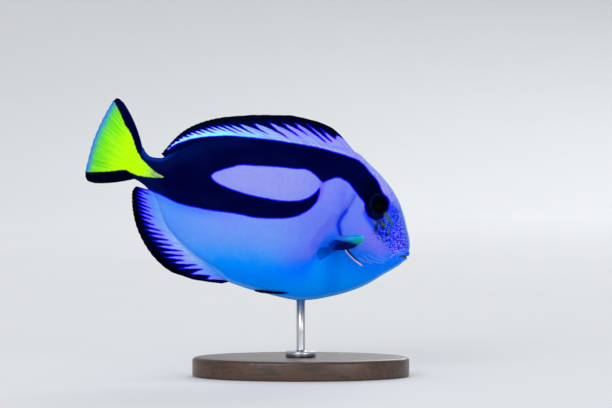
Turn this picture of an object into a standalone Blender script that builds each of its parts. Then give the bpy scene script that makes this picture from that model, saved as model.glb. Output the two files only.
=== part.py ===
"""A regal blue tang, life size and still, nose a little down, on a plain display stand.

The fish is modelled straight in its own frame: x forward along the body from the mouth,
y to its left, z up. Tables and sizes are in millimetres. Each finished piece is then curved
sideways towards the tail, made metres, and carried by an empty that holds the pose.
"""

import math

import bmesh
import bpy
import numpy as np
from mathutils import Matrix, Vector

MM = 0.001
GAP = 0.3

# Pose and stand
PITCH_DOWN = math.radians(17.8)
BEND_START, BEND_END = -66.0, -150.0
BEND_ANGLE = math.radians(20.0)
BASE_LENGTH, BASE_WIDTH, BASE_HEIGHT, BASE_EDGE = 100.0, 66.0, 9.0, 1.6
ROD_RADIUS, ROD_LENGTH, ROD_INTO_BELLY = 2.0, 26.0, 6.0
FLANGE_RADIUS, FLANGE_HEIGHT, FLANGE_EDGE, ROD_FILLET = 7.0, 2.4, 0.6, 1.0
ROD_AT_X = -40.5

# Body: the line of the back, the line of the belly, half width and the level where it is widest
BACK = [
    (-136.0, 6.0), (-130.3, 5.9), (-126.5, 4.9), (-122.0, 5.9), (-118.0, 9.4), (-114.0, 13.3),
    (-110.0, 16.8), (-105.0, 20.4), (-100.0, 23.2), (-90.0, 27.2), (-80.0, 29.9), (-70.0, 32.0),
    (-60.0, 33.8), (-50.0, 35.5), (-42.0, 36.4), (-36.5, 35.9), (-30.0, 33.0), (-22.0, 28.8),
    (-16.0, 24.7), (-11.3, 20.3), (-7.3, 15.0), (-3.9, 9.4), (-1.6, 5.4), (-0.4, 2.6), (0.15, -1.0),
]
BELLY = [
    (-136.0, -7.4), (-130.3, -7.2), (-126.5, -8.0), (-122.5, -10.0), (-117.0, -14.8),
    (-113.5, -19.6), (-109.8, -23.8), (-105.0, -27.2), (-98.0, -30.9), (-90.0, -33.8),
    (-82.0, -36.2), (-74.0, -38.2), (-66.0, -38.9), (-58.0, -38.7), (-50.0, -38.2),
    (-43.0, -37.4), (-36.0, -35.0), (-28.0, -30.8), (-20.5, -26.0), (-14.0, -20.6),
    (-8.0, -13.8), (-3.9, -9.3), (-1.7, -6.5), (-0.6, -4.2), (0.15, -1.0),
]
HALF_WIDTH = [
    (-136.0, 2.1), (-130.3, 2.3), (-122.0, 2.8), (-112.0, 3.9), (-100.0, 5.7), (-85.0, 8.0),
    (-70.0, 9.8), (-55.0, 10.8), (-44.0, 11.1), (-36.0, 10.7), (-28.0, 9.7), (-20.0, 8.3),
    (-12.0, 6.5), (-6.0, 4.9), (-2.5, 3.6), (-0.8, 2.5), (-0.1, 1.4), (0.15, 0.0),
]
WIDEST_AT = [
    (-136.0, -0.8), (-122.0, -1.8), (-105.0, -2.0), (-80.0, -1.0), (-50.0, 0.0), (-30.0, 1.0),
    (-18.0, 2.0), (-8.0, 0.5), (0.15, -1.0),
]
ABOVE_POWER, ABOVE_FULLNESS = 1.9, 0.58
BELOW_POWER, BELOW_FULLNESS = 2.3, 0.52
STATIONS, STATION_CROWDING, LEVELS = 58, 1.6, 20
SNOUT_X, REAR_X = 0.15, -134.0

EYE_X, EYE_Z = -20.3, 15.8
EYE_RADIUS, EYE_DEPTH, EYE_SUNK = 5.4, 3.6, 2.4
BROW_RISE, BROW_SPREAD = 0.9, 6.5

# Seams between head, torso and tail stem; the first follows the rear edge of the gill cover
GILL_SEAM = [
    (-38.0, 42.0), (-36.0, 33.0), (-33.0, 24.0), (-31.8, 17.0), (-33.0, 11.5), (-34.6, 6.0),
    (-35.2, 3.0), (-33.8, 0.0), (-30.9, -4.2), (-27.9, -7.5), (-25.6, -9.0), (-22.7, -10.5),
    (-20.0, -11.5), (-17.5, -12.4), (-14.6, -15.5), (-12.6, -24.0),
]
GILL_OPEN = (0.26, 0.80)
COVER_RISE, COVER_REACH = 0.5, 9.0
OPENING_RADIUS, OPENING_BEHIND = 0.85, 0.35
STEM_SEAM_X, FIN_SEAM_X = -113.0, -130.3
SEAM_REACH = 60.0

# Mouth: lips as tapered tubes lying on the skin, over a thin cleft
MOUTH_CORNER, MOUTH_FRONT = (-3.3, -3.5), (0.4, -2.4)
LIP_RADIUS, LIP_CORNER_SHARE, LIP_SUNK = 1.05, 0.5, 0.45
UPPER_LIP, LOWER_LIP = (-1.3, -2.9), (-3.5, -4.1)
CLEFT_HEIGHT = 0.4
NOSTRILS = [(-14.0, 16.4, 0.7), (-12.2, 15.4, 0.5)]
NOSTRIL_DEPTH = 1.0
EYE_GROOVE = [(-15.2, 12.6), (-13.0, 11.2), (-11.0, 9.6)]
GROOVE_RADIUS, GROOVE_OUT = 0.55, 0.25

# Fins along the back and belly, as guide rays: (ray number, root x, tip x, tip z), front to rear
DORSAL_RAYS = [
    (0, -34.8, -46.5, 41.4), (0.5, -37.6, -52.3, 43.6), (1, -40.5, -58.0, 44.0), (2, -44.8, -64.5, 43.7),
    (3, -48.5, -70.7, 43.0), (4, -55.0, -76.3, 41.35), (5, -61.3, -81.9, 39.7), (6, -69.5, -88.2, 37.6),
    (7, -76.6, -95.0, 34.9), (8, -83.4, -100.0, 32.8), (10, -90.6, -105.3, 29.9),
    (12, -96.0, -109.4, 27.1), (14, -101.3, -112.9, 24.1), (16, -105.7, -115.7, 21.0),
    (18, -109.1, -117.8, 17.8), (20, -112.4, -119.6, 14.2), (22, -116.4, -121.4, 9.9),
    (23, -119.6, -122.3, 7.8),
]
ANAL_RAYS = [
    (0, -72.8, -77.5, -40.5), (0.5, -76.4, -84.5, -41.9), (1, -80.0, -91.5, -42.8),
    (2, -84.3, -100.0, -42.7), (3, -87.9, -105.0, -41.5), (4, -91.3, -109.0, -39.7),
    (5, -94.7, -112.0, -38.0), (6, -97.9, -114.8, -36.0), (8, -103.9, -119.2, -32.1),
    (10, -108.0, -123.2, -27.4), (12, -111.4, -126.0, -22.9), (14, -113.9, -127.8, -19.2),
    (16, -116.2, -129.0, -15.9), (18, -118.6, -129.8, -12.8), (20, -121.2, -129.0, -10.0),
]
# Caudal fin: (root z, tip x, tip z, bow of the ray, sweep to the left at its tip), bottom to top
CAUDAL_RAYS = [
    (-7.0, -150.2, -15.1, -0.9, 6.0), (-6.8, -152.8, -15.2, -0.7, 5.6), (-6.4, -154.7, -13.7, -0.4, 5.0),
    (-5.5, -155.3, -10.6, -0.1, 4.0), (-4.2, -155.1, -5.2, 0.0, 2.7), (-2.4, -154.9, 0.3, 0.0, 1.5),
    (-0.6, -154.4, 5.5, 0.0, 0.5), (1.2, -153.7, 10.8, 0.3, 0.0), (3.0, -152.8, 16.0, 0.65, -0.3),
    (4.3, -151.7, 20.8, 1.0, -0.6), (5.0, -150.7, 24.3, 1.15, -0.8), (5.4, -149.0, 26.0, 1.25, -0.9),
    (5.7, -146.0, 25.0, 1.3, -1.0),
]
# Pectoral fin: (root x, root z, tip x, tip z, reach outwards), leading ray to last
PECTORAL_RAYS = [
    (-33.4, -3.0, -25.2, 1.5, 20.0), (-33.5, -3.7, -22.4, 1.5, 23.0), (-33.6, -4.5, -22.5, -0.5, 25.0),
    (-33.6, -5.3, -24.2, -2.9, 25.6), (-33.6, -6.1, -27.2, -5.8, 25.0), (-33.5, -6.9, -33.0, -8.4, 22.5),
    (-33.3, -7.8, -39.2, -9.4, 18.0), (-33.0, -8.7, -40.6, -12.6, 13.0), (-32.7, -9.5, -38.4, -15.8, 8.0),
]
# Pelvic fin, folded back along the belly: (root x, root z, tip x, tip z)
PELVIC_RAYS = [
    (-46.4, -34.6, -59.5, -37.6), (-46.9, -35.0, -62.4, -38.7), (-47.6, -35.5, -61.6, -39.2),
    (-48.4, -36.1, -58.6, -39.0),
]
CAUDAL_COUNT, PECTORAL_COUNT, PELVIC_COUNT = 18, 15, 4
DORSAL_ROWS, ANAL_ROWS, CAUDAL_ROWS, PECTORAL_ROWS, PELVIC_ROWS = 5, 5, 8, 6, 5
MEMBRANE, RAY_RIDGE, RIDGE_FADE = 0.5, 0.36, 0.6
EDGE_ROOT_HALF, CAUDAL_ROOT_HALF, PECTORAL_ROOT_HALF = 0.9, 0.3, 1.2
FLESH_REACH, ROOT_REACH, PECTORAL_ROOT_REACH, PECTORAL_CURL = 7.0, 0.33, 0.36, 1.2
PELVIC_HALF, PELVIC_CLEAR = 0.4, 0.55

# The small folded spine on each side of the tail stem
SPINE_ROOT_X, SPINE_TIP_X, SPINE_Z = -123.2, -117.4, -2.0
SPINE_RADIUS, SPINE_TIP_SHARE, SPINE_FLATNESS = 0.85, 0.15, 0.5

# Each piece's colour, roughness and metallic value
FINISHES = {
    "head": ((0.22, 0.30, 0.90), 0.40, 0.0),
    "torso": ((0.08, 0.24, 0.95), 0.40, 0.0),
    "tail_stem": ((0.008, 0.012, 0.08), 0.40, 0.0),
    "dorsal_fin": ((0.02, 0.03, 0.12), 0.45, 0.0),
    "anal_fin": ((0.02, 0.03, 0.12), 0.45, 0.0),
    "caudal_fin": ((0.62, 0.92, 0.02), 0.45, 0.0),
    "pectoral_fin": ((0.10, 0.55, 0.85), 0.35, 0.0),
    "pelvic_fin": ((0.01, 0.02, 0.10), 0.45, 0.0),
    "eye": ((0.006, 0.010, 0.03), 0.10, 0.0),
    "tail_spine": ((0.80, 0.84, 0.55), 0.40, 0.0),
    "stand_base": ((0.07, 0.04, 0.024), 0.40, 0.0),
    "stand_rod": ((0.62, 0.63, 0.65), 0.30, 1.0),
}


def clear_scene():
    for thing in list(bpy.data.objects):
        bpy.data.objects.remove(thing)


def smooth(t):
    t = min(max(t, 0.0), 1.0)
    return t * t * (3 - 2 * t)


def through(table, at):
    """A smooth curve through a table of (place, value) rows, read at one place."""
    at = min(max(at, table[0][0]), table[-1][0])
    i = min(max(int(np.searchsorted([row[0] for row in table], at)) - 1, 0), len(table) - 2)

    def step(k):
        return (table[k + 1][1] - table[k][1]) / (table[k + 1][0] - table[k][0])

    def slope(k):
        if k in (0, len(table) - 1):
            return step(min(k, len(table) - 2))
        before, after = step(k - 1), step(k)
        return 0.0 if before * after <= 0 else 2 * before * after / (before + after)

    span = table[i + 1][0] - table[i][0]
    t = (at - table[i][0]) / span
    low, high = table[i][1], table[i + 1][1]
    bulge = span * (slope(i) * t * (1 - t) ** 2 - slope(i + 1) * t * t * (1 - t))
    return low + (high - low) * smooth(t) + bulge


def smooth_path(points, count):
    """Points at even steps along a smooth curve through a few points."""
    knots = [0.0]
    for a, b in zip(points, points[1:]):
        knots.append(knots[-1] + math.dist(a, b))
    tables = [list(zip(knots, axis)) for axis in zip(*points)]
    return [tuple(through(table, knots[-1] * i / (count - 1)) for table in tables) for i in range(count)]


def half_width(x, z):
    """How far the skin stands from the middle plane at a place of the side view."""
    top, low, widest = through(BACK, x), through(BELLY, x), through(WIDEST_AT, x)
    above = z > widest
    reach = (top - widest) if above else (widest - low)
    share = min(abs(z - widest) / max(reach, 1e-6), 1.0)
    power, fullness = (ABOVE_POWER, ABOVE_FULLNESS) if above else (BELOW_POWER, BELOW_FULLNESS)
    width = through(HALF_WIDTH, x) * (1 - share**power) ** fullness
    near_eye = math.exp(-((x - EYE_X) ** 2 + (z - EYE_Z) ** 2) / (2 * BROW_SPREAD**2))
    return width + BROW_RISE * near_eye * (1 - share**4)


def flank_normal(x, z, side):
    step = 0.4
    along = (half_width(x + step, z) - half_width(x - step, z)) / (2 * step)
    up = (half_width(x, z + step) - half_width(x, z - step)) / (2 * step)
    return Vector((-along, side, -up)).normalized()


def front_of(z):
    """Where the outline of the snout is at a level near the mouth."""
    line = BACK if z > through(BACK, SNOUT_X) else BELLY
    far, near = -20.0, SNOUT_X
    for _ in range(30):
        middle = (far + near) / 2
        inside = through(line, middle) > z if line is BACK else through(line, middle) < z
        far, near = (middle, near) if inside else (far, middle)
    return near


def bend_table(rows=200):
    xs = np.linspace(BEND_START, BEND_END - 10, rows)
    angle = BEND_ANGLE * ((BEND_START - xs) / (BEND_START - BEND_END)) ** 2
    away = np.concatenate([[0.0], np.cumsum(np.tan((angle[1:] + angle[:-1]) / 2) * -np.diff(xs))])
    return xs[::-1], angle[::-1], away[::-1]


BEND = bend_table()


def bent(point):
    """Where a point of the straight fish goes when its rear curves to the left."""
    if point.x >= BEND_START:
        return point.copy()
    xs, angle, away = BEND
    turn, aside = float(np.interp(point.x, xs, angle)), float(np.interp(point.x, xs, away))
    return Vector((point.x + point.y * math.sin(turn), aside + point.y * math.cos(turn), point.z))


def new_object(name, bm):
    bmesh.ops.recalc_face_normals(bm, faces=bm.faces)
    mesh = bpy.data.meshes.new(name)
    bm.to_mesh(mesh)
    bm.free()
    made = bpy.data.objects.new(name, mesh)
    bpy.context.scene.collection.objects.link(made)
    return made


def body_mesh(name, grown=0.0):
    """The whole body as rings of the skin, head to tail fin, optionally grown outwards."""
    bm = bmesh.new()
    rings = []
    for k in range(1, STATIONS + 1):
        x = SNOUT_X + (REAR_X - SNOUT_X) * (k / STATIONS) ** STATION_CROWDING
        top, low, widest = through(BACK, x), through(BELLY, x), through(WIDEST_AT, x)
        levels = []
        for j in range(LEVELS + 1):
            share = math.cos(math.pi * j / LEVELS)
            levels.append(widest + share * ((top - widest) if share > 0 else (widest - low)))
        left = [bm.verts.new((x, half_width(x, z), z)) for z in levels[1:-1]]
        right = [bm.verts.new((x, -half_width(x, z), z)) for z in levels[1:-1]]
        ends = [bm.verts.new((x, 0, levels[0])), bm.verts.new((x, 0, levels[-1]))]
        rings.append([ends[0], *left, ends[1], *right[::-1]])
    tip = bm.verts.new((SNOUT_X, 0, through(BACK, SNOUT_X)))
    around = len(rings[0])
    for i in range(around):
        bm.faces.new((tip, rings[0][i], rings[0][(i + 1) % around]))
        for near, far in zip(rings, rings[1:]):
            bm.faces.new((near[i], far[i], far[(i + 1) % around], near[(i + 1) % around]))
    bm.faces.new(rings[-1])
    bmesh.ops.triangulate(bm, faces=bm.faces)
    bmesh.ops.recalc_face_normals(bm, faces=bm.faces)
    bm.normal_update()
    for vert, normal in [(v, v.normal.copy()) for v in bm.verts]:
        vert.co += normal * grown
    return new_object(name, bm)


def apply_modifiers(target):
    bpy.context.view_layer.update()
    seen = target.evaluated_get(bpy.context.evaluated_depsgraph_get())
    mesh = bpy.data.meshes.new_from_object(seen)
    target.modifiers.clear()
    target.data = mesh


def boolean(target, others, operation):
    """Applies one Boolean of the target with a collection of solids, and removes those."""
    cutters = bpy.data.collections.new("cutters")
    cutters.hide_render = True
    for other in others:
        other.display_type = "WIRE"
        cutters.objects.link(other)
    change = target.modifiers.new("boolean", "BOOLEAN")
    change.operation, change.operand_type = operation, "COLLECTION"
    change.collection, change.solver = cutters, "EXACT"
    apply_modifiers(target)
    for other in others:
        bpy.data.objects.remove(other)
    bpy.data.collections.remove(cutters)


def shells(target):
    """The closed surfaces of a mesh, largest first, each as a mesh of its own."""
    whole = bmesh.new()
    whole.from_mesh(target.data)
    unseen = set(whole.faces)
    pieces = []
    while unseen:
        stack = [unseen.pop()]
        shell = set(stack)
        while stack:
            linked = {other for edge in stack.pop().edges for other in edge.link_faces} & unseen
            unseen -= linked
            shell |= linked
            stack.extend(linked)
        kept = {face.index for face in shell}
        piece = whole.copy()
        piece.faces.ensure_lookup_table()
        bmesh.ops.delete(piece, geom=[f for f in piece.faces if f.index not in kept], context="FACES")
        bmesh.ops.triangulate(piece, faces=piece.faces)
        pieces.append((piece.calc_volume(signed=True), piece))
    whole.free()
    return [piece for _, piece in sorted(pieces, key=lambda pair: -pair[0])]


def keep_largest(target):
    pieces = shells(target)
    pieces[0].to_mesh(target.data)
    for piece in pieces:
        piece.free()


def sheet_cutter(path):
    """A thin upright sheet across the body, along a path of the side view."""
    points = [Vector((x, 0, z)) for x, z in path]
    bm = bmesh.new()
    rows = []
    for i, point in enumerate(points):
        along = points[min(i + 1, len(points) - 1)] - points[max(i - 1, 0)]
        across = Vector((-along.z, 0, along.x)).normalized() * GAP / 2
        aside = Vector((0, SEAM_REACH, 0))
        corners = (across + aside, across - aside, -across - aside, aside - across)
        rows.append([bm.verts.new(point + corner) for corner in corners])
    for near, far in zip(rows, rows[1:]):
        for i in range(4):
            bm.faces.new((near[i], far[i], far[(i + 1) % 4], near[(i + 1) % 4]))
    bm.faces.new(rows[0])
    bm.faces.new(rows[-1])
    return new_object("seam", bm)


def gill_edge(path):
    """The free edge of the gill cover: each point of the seam there, and how open the gill is."""
    first, last = (round(share * (len(path) - 1)) for share in GILL_OPEN)
    middle = (first + last) / 2
    return [(path[i], smooth(3 * (1 - abs(i - middle) / (middle - first + 1))))
            for i in range(first, last + 1)]


def raise_cover(head, edge):
    """Lifts the gill cover a little towards its free edge."""
    for vert in head.data.vertices:
        here = (vert.co.x, vert.co.z)
        distance, opened = min((math.dist(here, place), opened) for place, opened in edge)
        rise = COVER_RISE * opened * (1 - smooth(distance / COVER_REACH))
        vert.co.y += math.copysign(min(rise, abs(vert.co.y)), vert.co.y)


def opening_cutters(edge):
    """The rounded channel behind the free edge of each gill cover."""
    cutters = []
    for side in (1, -1):
        path, radii = [], []
        for i, ((x, z), opened) in enumerate(edge):
            (x0, z0), (x1, z1) = edge[max(i - 1, 0)][0], edge[min(i + 1, len(edge) - 1)][0]
            away = Vector((z1 - z0, x0 - x1)).normalized() * (GAP / 2 + OPENING_BEHIND)
            x, z = x + away.x, z + away.y
            path.append((x, side * half_width(x, z), z))
            radii.append(OPENING_RADIUS * (0.3 + 0.7 * opened))
        cutters.append(tube("opening", path, radii))
    return cutters


def spheroid(name, centre, normal, radius, depth, segments, rings):
    bm = bmesh.new()
    bmesh.ops.create_uvsphere(bm, u_segments=segments, v_segments=rings, radius=1.0)
    turn = normal.to_track_quat("Z", "Y").to_matrix().to_4x4()
    bm.transform(Matrix.Translation(centre) @ turn @ Matrix.Diagonal((radius, radius, depth, 1)))
    bmesh.ops.triangulate(bm, faces=bm.faces)
    return new_object(name, bm)


def eye_place(side):
    normal = flank_normal(EYE_X, EYE_Z, side)
    surface = Vector((EYE_X, side * half_width(EYE_X, EYE_Z), EYE_Z))
    return surface - normal * EYE_SUNK, normal


def tube(name, path, radii):
    """A round bar with closed ends along a path, with its own radius at each point."""
    curve = bpy.data.curves.new(name, "CURVE")
    curve.dimensions = "3D"
    curve.bevel_depth, curve.bevel_resolution = 1.0, 2
    curve.use_fill_caps = True
    spline = curve.splines.new("POLY")
    spline.points.add(len(path) - 1)
    for point, place, radius in zip(spline.points, path, radii):
        point.co = (*place, 1)
        point.radius = radius
    guide = bpy.data.objects.new(name, curve)
    bpy.context.scene.collection.objects.link(guide)
    bpy.context.view_layer.update()
    seen = guide.evaluated_get(bpy.context.evaluated_depsgraph_get())
    bm = bmesh.new()
    bm.from_mesh(bpy.data.meshes.new_from_object(seen))
    bmesh.ops.remove_doubles(bm, verts=bm.verts, dist=0.0001)
    bmesh.ops.triangulate(bm, faces=bm.faces)
    bpy.data.objects.remove(guide)
    return new_object(name, bm)


def lip(levels):
    """One lip: a tube on the skin, from one corner of the mouth round the front to the other."""
    front_z, corner_z = levels
    half = 8
    path, radii = [], []
    for k in range(-half, half + 1):
        share = abs(k) / half
        z = front_z + (corner_z - front_z) * share
        radius = LIP_RADIUS * (1 - (1 - LIP_CORNER_SHARE) * share**2)
        sunk = LIP_SUNK + (radius - LIP_SUNK) * share**2
        front = front_of(z) - sunk
        x = front + (MOUTH_CORNER[0] - front) * share**2
        aside = max(half_width(x, z) - sunk, 0.0) if k else 0.0
        path.append((x, math.copysign(aside, k), z))
        radii.append(radius)
    return tube("lip", path, radii)


def cleft_cutter():
    """The thin gap between the lips, from in front of the mouth back to its corners."""
    corner, front = Vector((MOUTH_CORNER[0], 0, MOUTH_CORNER[1])), Vector((MOUTH_FRONT[0], 0, MOUTH_FRONT[1]))
    along = (front - corner).normalized()
    length, width = (front - corner).length + 3.0, 20.0
    bm = bmesh.new()
    bmesh.ops.create_cube(bm, size=1.0)
    slope = Matrix.Rotation(-math.atan2(along.z, along.x), 4, "Y")
    size = Matrix.Diagonal((length, width, CLEFT_HEIGHT, 1))
    bm.transform(Matrix.Translation(corner + along * length / 2) @ slope @ size)
    return new_object("cleft", bm)


def head_cutters():
    """Eye sockets, nostrils, the groove before each eye and the mouth's cleft."""
    cutters = [cleft_cutter()]
    for side in (1, -1):
        centre, normal = eye_place(side)
        cutters.append(spheroid("socket", centre, normal, EYE_RADIUS + GAP, EYE_DEPTH + GAP, 24, 12))
        for x, z, radius in NOSTRILS:
            at = Vector((x, side * half_width(x, z), z))
            cutters.append(spheroid("nostril", at, flank_normal(x, z, side), radius, NOSTRIL_DEPTH, 8, 6))
        path = [(x, side * (half_width(x, z) + GROOVE_OUT), z) for x, z in smooth_path(EYE_GROOVE, 6)]
        cutters.append(tube("groove", path, [GROOVE_RADIUS * s for s in (0.7, 1, 1, 1, 0.9, 0.6)]))
    return cutters


def make_body():
    """Head, torso and tail stem: one body, parted along the thin seams."""
    whole = body_mesh("whole")
    gill_path = smooth_path(GILL_SEAM, 30)
    upright = [[(x, SEAM_REACH), (x, -SEAM_REACH)] for x in (STEM_SEAM_X, FIN_SEAM_X)]
    boolean(whole, [sheet_cutter(path) for path in (gill_path, *upright)], "DIFFERENCE")
    named = {}
    for bm in shells(whole):
        middle = sum(v.co.x for v in bm.verts) / len(bm.verts)
        if middle < FIN_SEAM_X:
            bm.free()
        else:
            name = "head" if middle > GILL_SEAM[0][0] else "torso" if middle > STEM_SEAM_X else "tail_stem"
            named[name] = new_object(name, bm)
    bpy.data.objects.remove(whole)
    head, edge = named["head"], gill_edge(gill_path)
    boolean(named["torso"], opening_cutters(edge), "DIFFERENCE")
    keep_largest(named["torso"])
    raise_cover(head, edge)
    boolean(head, [lip(UPPER_LIP), lip(LOWER_LIP)], "UNION")
    boolean(head, head_cutters(), "DIFFERENCE")
    keep_largest(head)
    return named


def numbered(guides, count):
    """Guide rays with even ray numbers put before their values."""
    return [(k * (count - 1) / (len(guides) - 1), *guide) for k, guide in enumerate(guides)]


def spread(guides):
    """Every ray and every middle of a membrane, from the guide rays: whether it is a ray, and its values."""
    numbers, *columns = zip(*guides)
    tables = [list(zip(numbers, column)) for column in columns]
    halves = range(round(2 * numbers[0]), round(2 * numbers[-1]) + 1)
    return [(half % 2 == 0, [through(table, half / 2) for table in tables]) for half in halves]


def fin_solid(name, columns):
    """A closed fin from columns of (centre, half thickness), split alike on both faces."""
    bm = bmesh.new()
    near, far = ([[bm.verts.new(centre + side * half) for centre, half in column] for column in columns]
                 for side in (1, -1))
    wide, tall = len(columns), len(columns[0])

    def split(a, b, c, d):
        bm.faces.new((a, b, c))
        bm.faces.new((a, c, d))

    for i in range(wide - 1):
        for j in range(tall - 1):
            for face in (near, far):
                split(face[i][j], face[i + 1][j], face[i + 1][j + 1], face[i][j + 1])
        for j in (0, tall - 1):
            split(near[i][j], near[i + 1][j], far[i + 1][j], far[i][j])
    for j in range(tall - 1):
        for i in (0, wide - 1):
            split(near[i][j], near[i][j + 1], far[i][j + 1], far[i][j])
    return new_object(name, bm)


def fin_half(is_ray, r, root, root_reach=ROOT_REACH):
    """Half the thickness of a fin at a share r of the way out along a ray."""
    ridge = RAY_RIDGE * (1 - RIDGE_FADE * r) if is_ray else 0.0
    thin = (MEMBRANE + ridge) / 2
    return thin + (root - thin) * (1 - smooth(r / root_reach))


def edge_fin(name, guides, line, outward, rows):
    """A fin standing on the back or the belly, in the middle plane."""
    columns = []
    for is_ray, (root_x, tip_x, tip_z) in spread(guides):
        root = Vector((root_x, 0, through(line, root_x) + outward * GAP))
        tip = Vector((tip_x, 0, tip_z))
        shares = [j / rows for j in range(rows + 1)]
        columns.append([(root.lerp(tip, r), Vector((0, fin_half(is_ray, r, EDGE_ROOT_HALF), 0)))
                        for r in shares])
    return fin_solid(name, columns)


def caudal_fin(rows=CAUDAL_ROWS):
    """The tail fin, thick where it leaves the tail stem and thin at its margin."""
    root_x = FIN_SEAM_X - GAP / 2
    columns = []
    for is_ray, (root_z, tip_x, tip_z, bow, sweep) in spread(numbered(CAUDAL_RAYS, CAUDAL_COUNT)):
        root, tip = Vector((root_x, 0, root_z)), Vector((tip_x, 0, tip_z))
        along = tip - root
        bowed = Vector((along.z, 0, -along.x)).normalized() * bow
        flesh = max(half_width(root_x, root_z), CAUDAL_ROOT_HALF)
        column = []
        for j in range(rows + 1):
            r = (j / rows) ** 1.4
            at = root.lerp(tip, r) + bowed * 4 * r * (1 - r) + Vector((0, sweep * r * r, 0))
            share = smooth(r * along.length / FLESH_REACH)
            half = flesh + (fin_half(is_ray, r, CAUDAL_ROOT_HALF) - flesh) * share
            column.append((at, Vector((0, half, 0))))
        columns.append(column)
    return fin_solid("caudal_fin", columns)


def pectoral_fin(name, side, rows=PECTORAL_ROWS):
    """A paired fin held out from the flank, cupped, its last rays drooping."""
    lines = spread(numbered(PECTORAL_RAYS, PECTORAL_COUNT))
    roots = [Vector((x, side * (half_width(x, z) + GAP), z)) for _, (x, z, *_) in lines]
    tips = [Vector((row[2], side * (half_width(row[0], row[1]) + row[4]), row[3])) for _, row in lines]
    columns = []
    for i, (is_ray, row) in enumerate(lines):
        before, after = max(i - 1, 0), min(i + 1, len(lines) - 1)
        out = flank_normal(row[0], row[1], side)
        at_root = out.cross(roots[after] - roots[before]).normalized()
        at_tip = (tips[i] - roots[i]).cross(tips[after] - tips[before]).normalized()
        column = []
        for j in range(rows + 1):
            r = j / rows
            normal = at_root.lerp(at_tip, smooth(r * 2.5)).normalized()
            half = fin_half(is_ray, r, PECTORAL_ROOT_HALF, PECTORAL_ROOT_REACH)
            curl = out * PECTORAL_CURL * 4 * r * (1 - r)
            column.append((roots[i].lerp(tips[i], r) + curl, normal * half))
        columns.append(column)
    return fin_solid(name, columns)


def pelvic_fin(name, side, rows=PELVIC_ROWS):
    """A pelvic fin folded back against the belly, clear of it by a little."""
    columns = []
    for is_ray, (root_x, root_z, tip_x, tip_z) in spread(numbered(PELVIC_RAYS, PELVIC_COUNT)):
        column = []
        for j in range(rows + 1):
            r = j / rows
            x, z = root_x + (tip_x - root_x) * r, root_z + (tip_z - root_z) * r
            skin = half_width(x, z) if z > through(BELLY, x) else 0.0
            half = fin_half(is_ray, r, PELVIC_HALF)
            aside = max(skin + PELVIC_CLEAR + half, 1.0)
            column.append((Vector((x, side * aside, z)), Vector((0, side * half, 0))))
        columns.append(column)
    return fin_solid(name, columns)


def tail_spine(name, side):
    """The folded tail spine: a flat cone lying along the skin, its point forward."""
    middle_x, length = (SPINE_ROOT_X + SPINE_TIP_X) / 2, SPINE_TIP_X - SPINE_ROOT_X
    bm = bmesh.new()
    bmesh.ops.create_cone(bm, cap_ends=True, segments=10, radius1=1.0, radius2=SPINE_TIP_SHARE,
                          depth=length)
    lie = Matrix.Rotation(math.pi / 2, 4, "Y")
    flat = Matrix.Diagonal((1, SPINE_RADIUS * SPINE_FLATNESS, SPINE_RADIUS, 1))
    aside = half_width(middle_x, SPINE_Z) + GAP + SPINE_RADIUS * SPINE_FLATNESS
    widening = (half_width(SPINE_TIP_X, SPINE_Z) - half_width(SPINE_ROOT_X, SPINE_Z)) / length
    lean = Matrix.Rotation(side * math.atan(widening), 4, "Z")
    bm.transform(Matrix.Translation((middle_x, side * aside, SPINE_Z)) @ lean @ flat @ lie)
    return new_object(name, bm)


def stand_base():
    """A flat oval plate with rounded edges, its underside at z = 0."""
    bm = bmesh.new()
    bmesh.ops.create_cone(bm, cap_ends=True, segments=48, radius1=1.0, radius2=1.0, depth=1.0)
    size = Matrix.Diagonal((BASE_LENGTH / 2, BASE_WIDTH / 2, BASE_HEIGHT, 1))
    bm.transform(Matrix.Translation((0, 0, BASE_HEIGHT / 2)) @ size)
    base = new_object("stand_base", bm)
    edge = base.modifiers.new("edge", "BEVEL")
    edge.width, edge.segments = BASE_EDGE, 2
    edge.limit_method, edge.angle_limit = "ANGLE", math.radians(60)
    apply_modifiers(base)
    return base


def stand_rod():
    """A turned rod with a flange at its foot, long enough to pass into the belly."""
    foot = BASE_HEIGHT + GAP
    top = BASE_HEIGHT + ROD_LENGTH + ROD_INTO_BELLY
    rim = foot + FLANGE_HEIGHT
    profile = [(0.0, top), (ROD_RADIUS, top), (ROD_RADIUS, rim + ROD_FILLET), (ROD_RADIUS + ROD_FILLET, rim),
               (FLANGE_RADIUS - FLANGE_EDGE, rim), (FLANGE_RADIUS, rim - FLANGE_EDGE),
               (FLANGE_RADIUS, foot), (0.0, foot)]
    bm = bmesh.new()
    line = [bm.verts.new((r, 0, z)) for r, z in profile]
    for a, b in zip(line, line[1:]):
        bm.edges.new((a, b))
    rod = new_object("stand_rod", bm)
    turn = rod.modifiers.new("turn", "SCREW")
    turn.steps = turn.render_steps = 24
    turn.use_merge_vertices, turn.merge_threshold = True, 0.0001
    apply_modifiers(rod)
    return rod


def dress(thing):
    """Gives a piece its own material; the two pieces of a pair have equal ones."""
    colour, roughness, metallic = FINISHES[thing.name.removesuffix("_left").removesuffix("_right")]
    made = bpy.data.materials.new(thing.name)
    made.use_nodes = True
    shader = made.node_tree.nodes["Principled BSDF"]
    shader.inputs["Base Color"].default_value = (*colour, 1)
    shader.inputs["Roughness"].default_value = roughness
    shader.inputs["Metallic"].default_value = metallic
    thing.data.materials.clear()
    thing.data.materials.append(made)


def settle(thing, group, carrier=None):
    """Makes a piece metres and gives it its group; a fish piece is also curved and carried."""
    bm = bmesh.new()
    bm.from_mesh(thing.data)
    for vert in bm.verts:
        vert.co = (bent(vert.co) if carrier else vert.co) * MM
    bmesh.ops.recalc_face_normals(bm, faces=bm.faces)
    bm.to_mesh(thing.data)
    bm.free()
    for old in list(thing.users_collection):
        old.objects.unlink(thing)
    group.objects.link(thing)
    thing.parent = carrier


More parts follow.
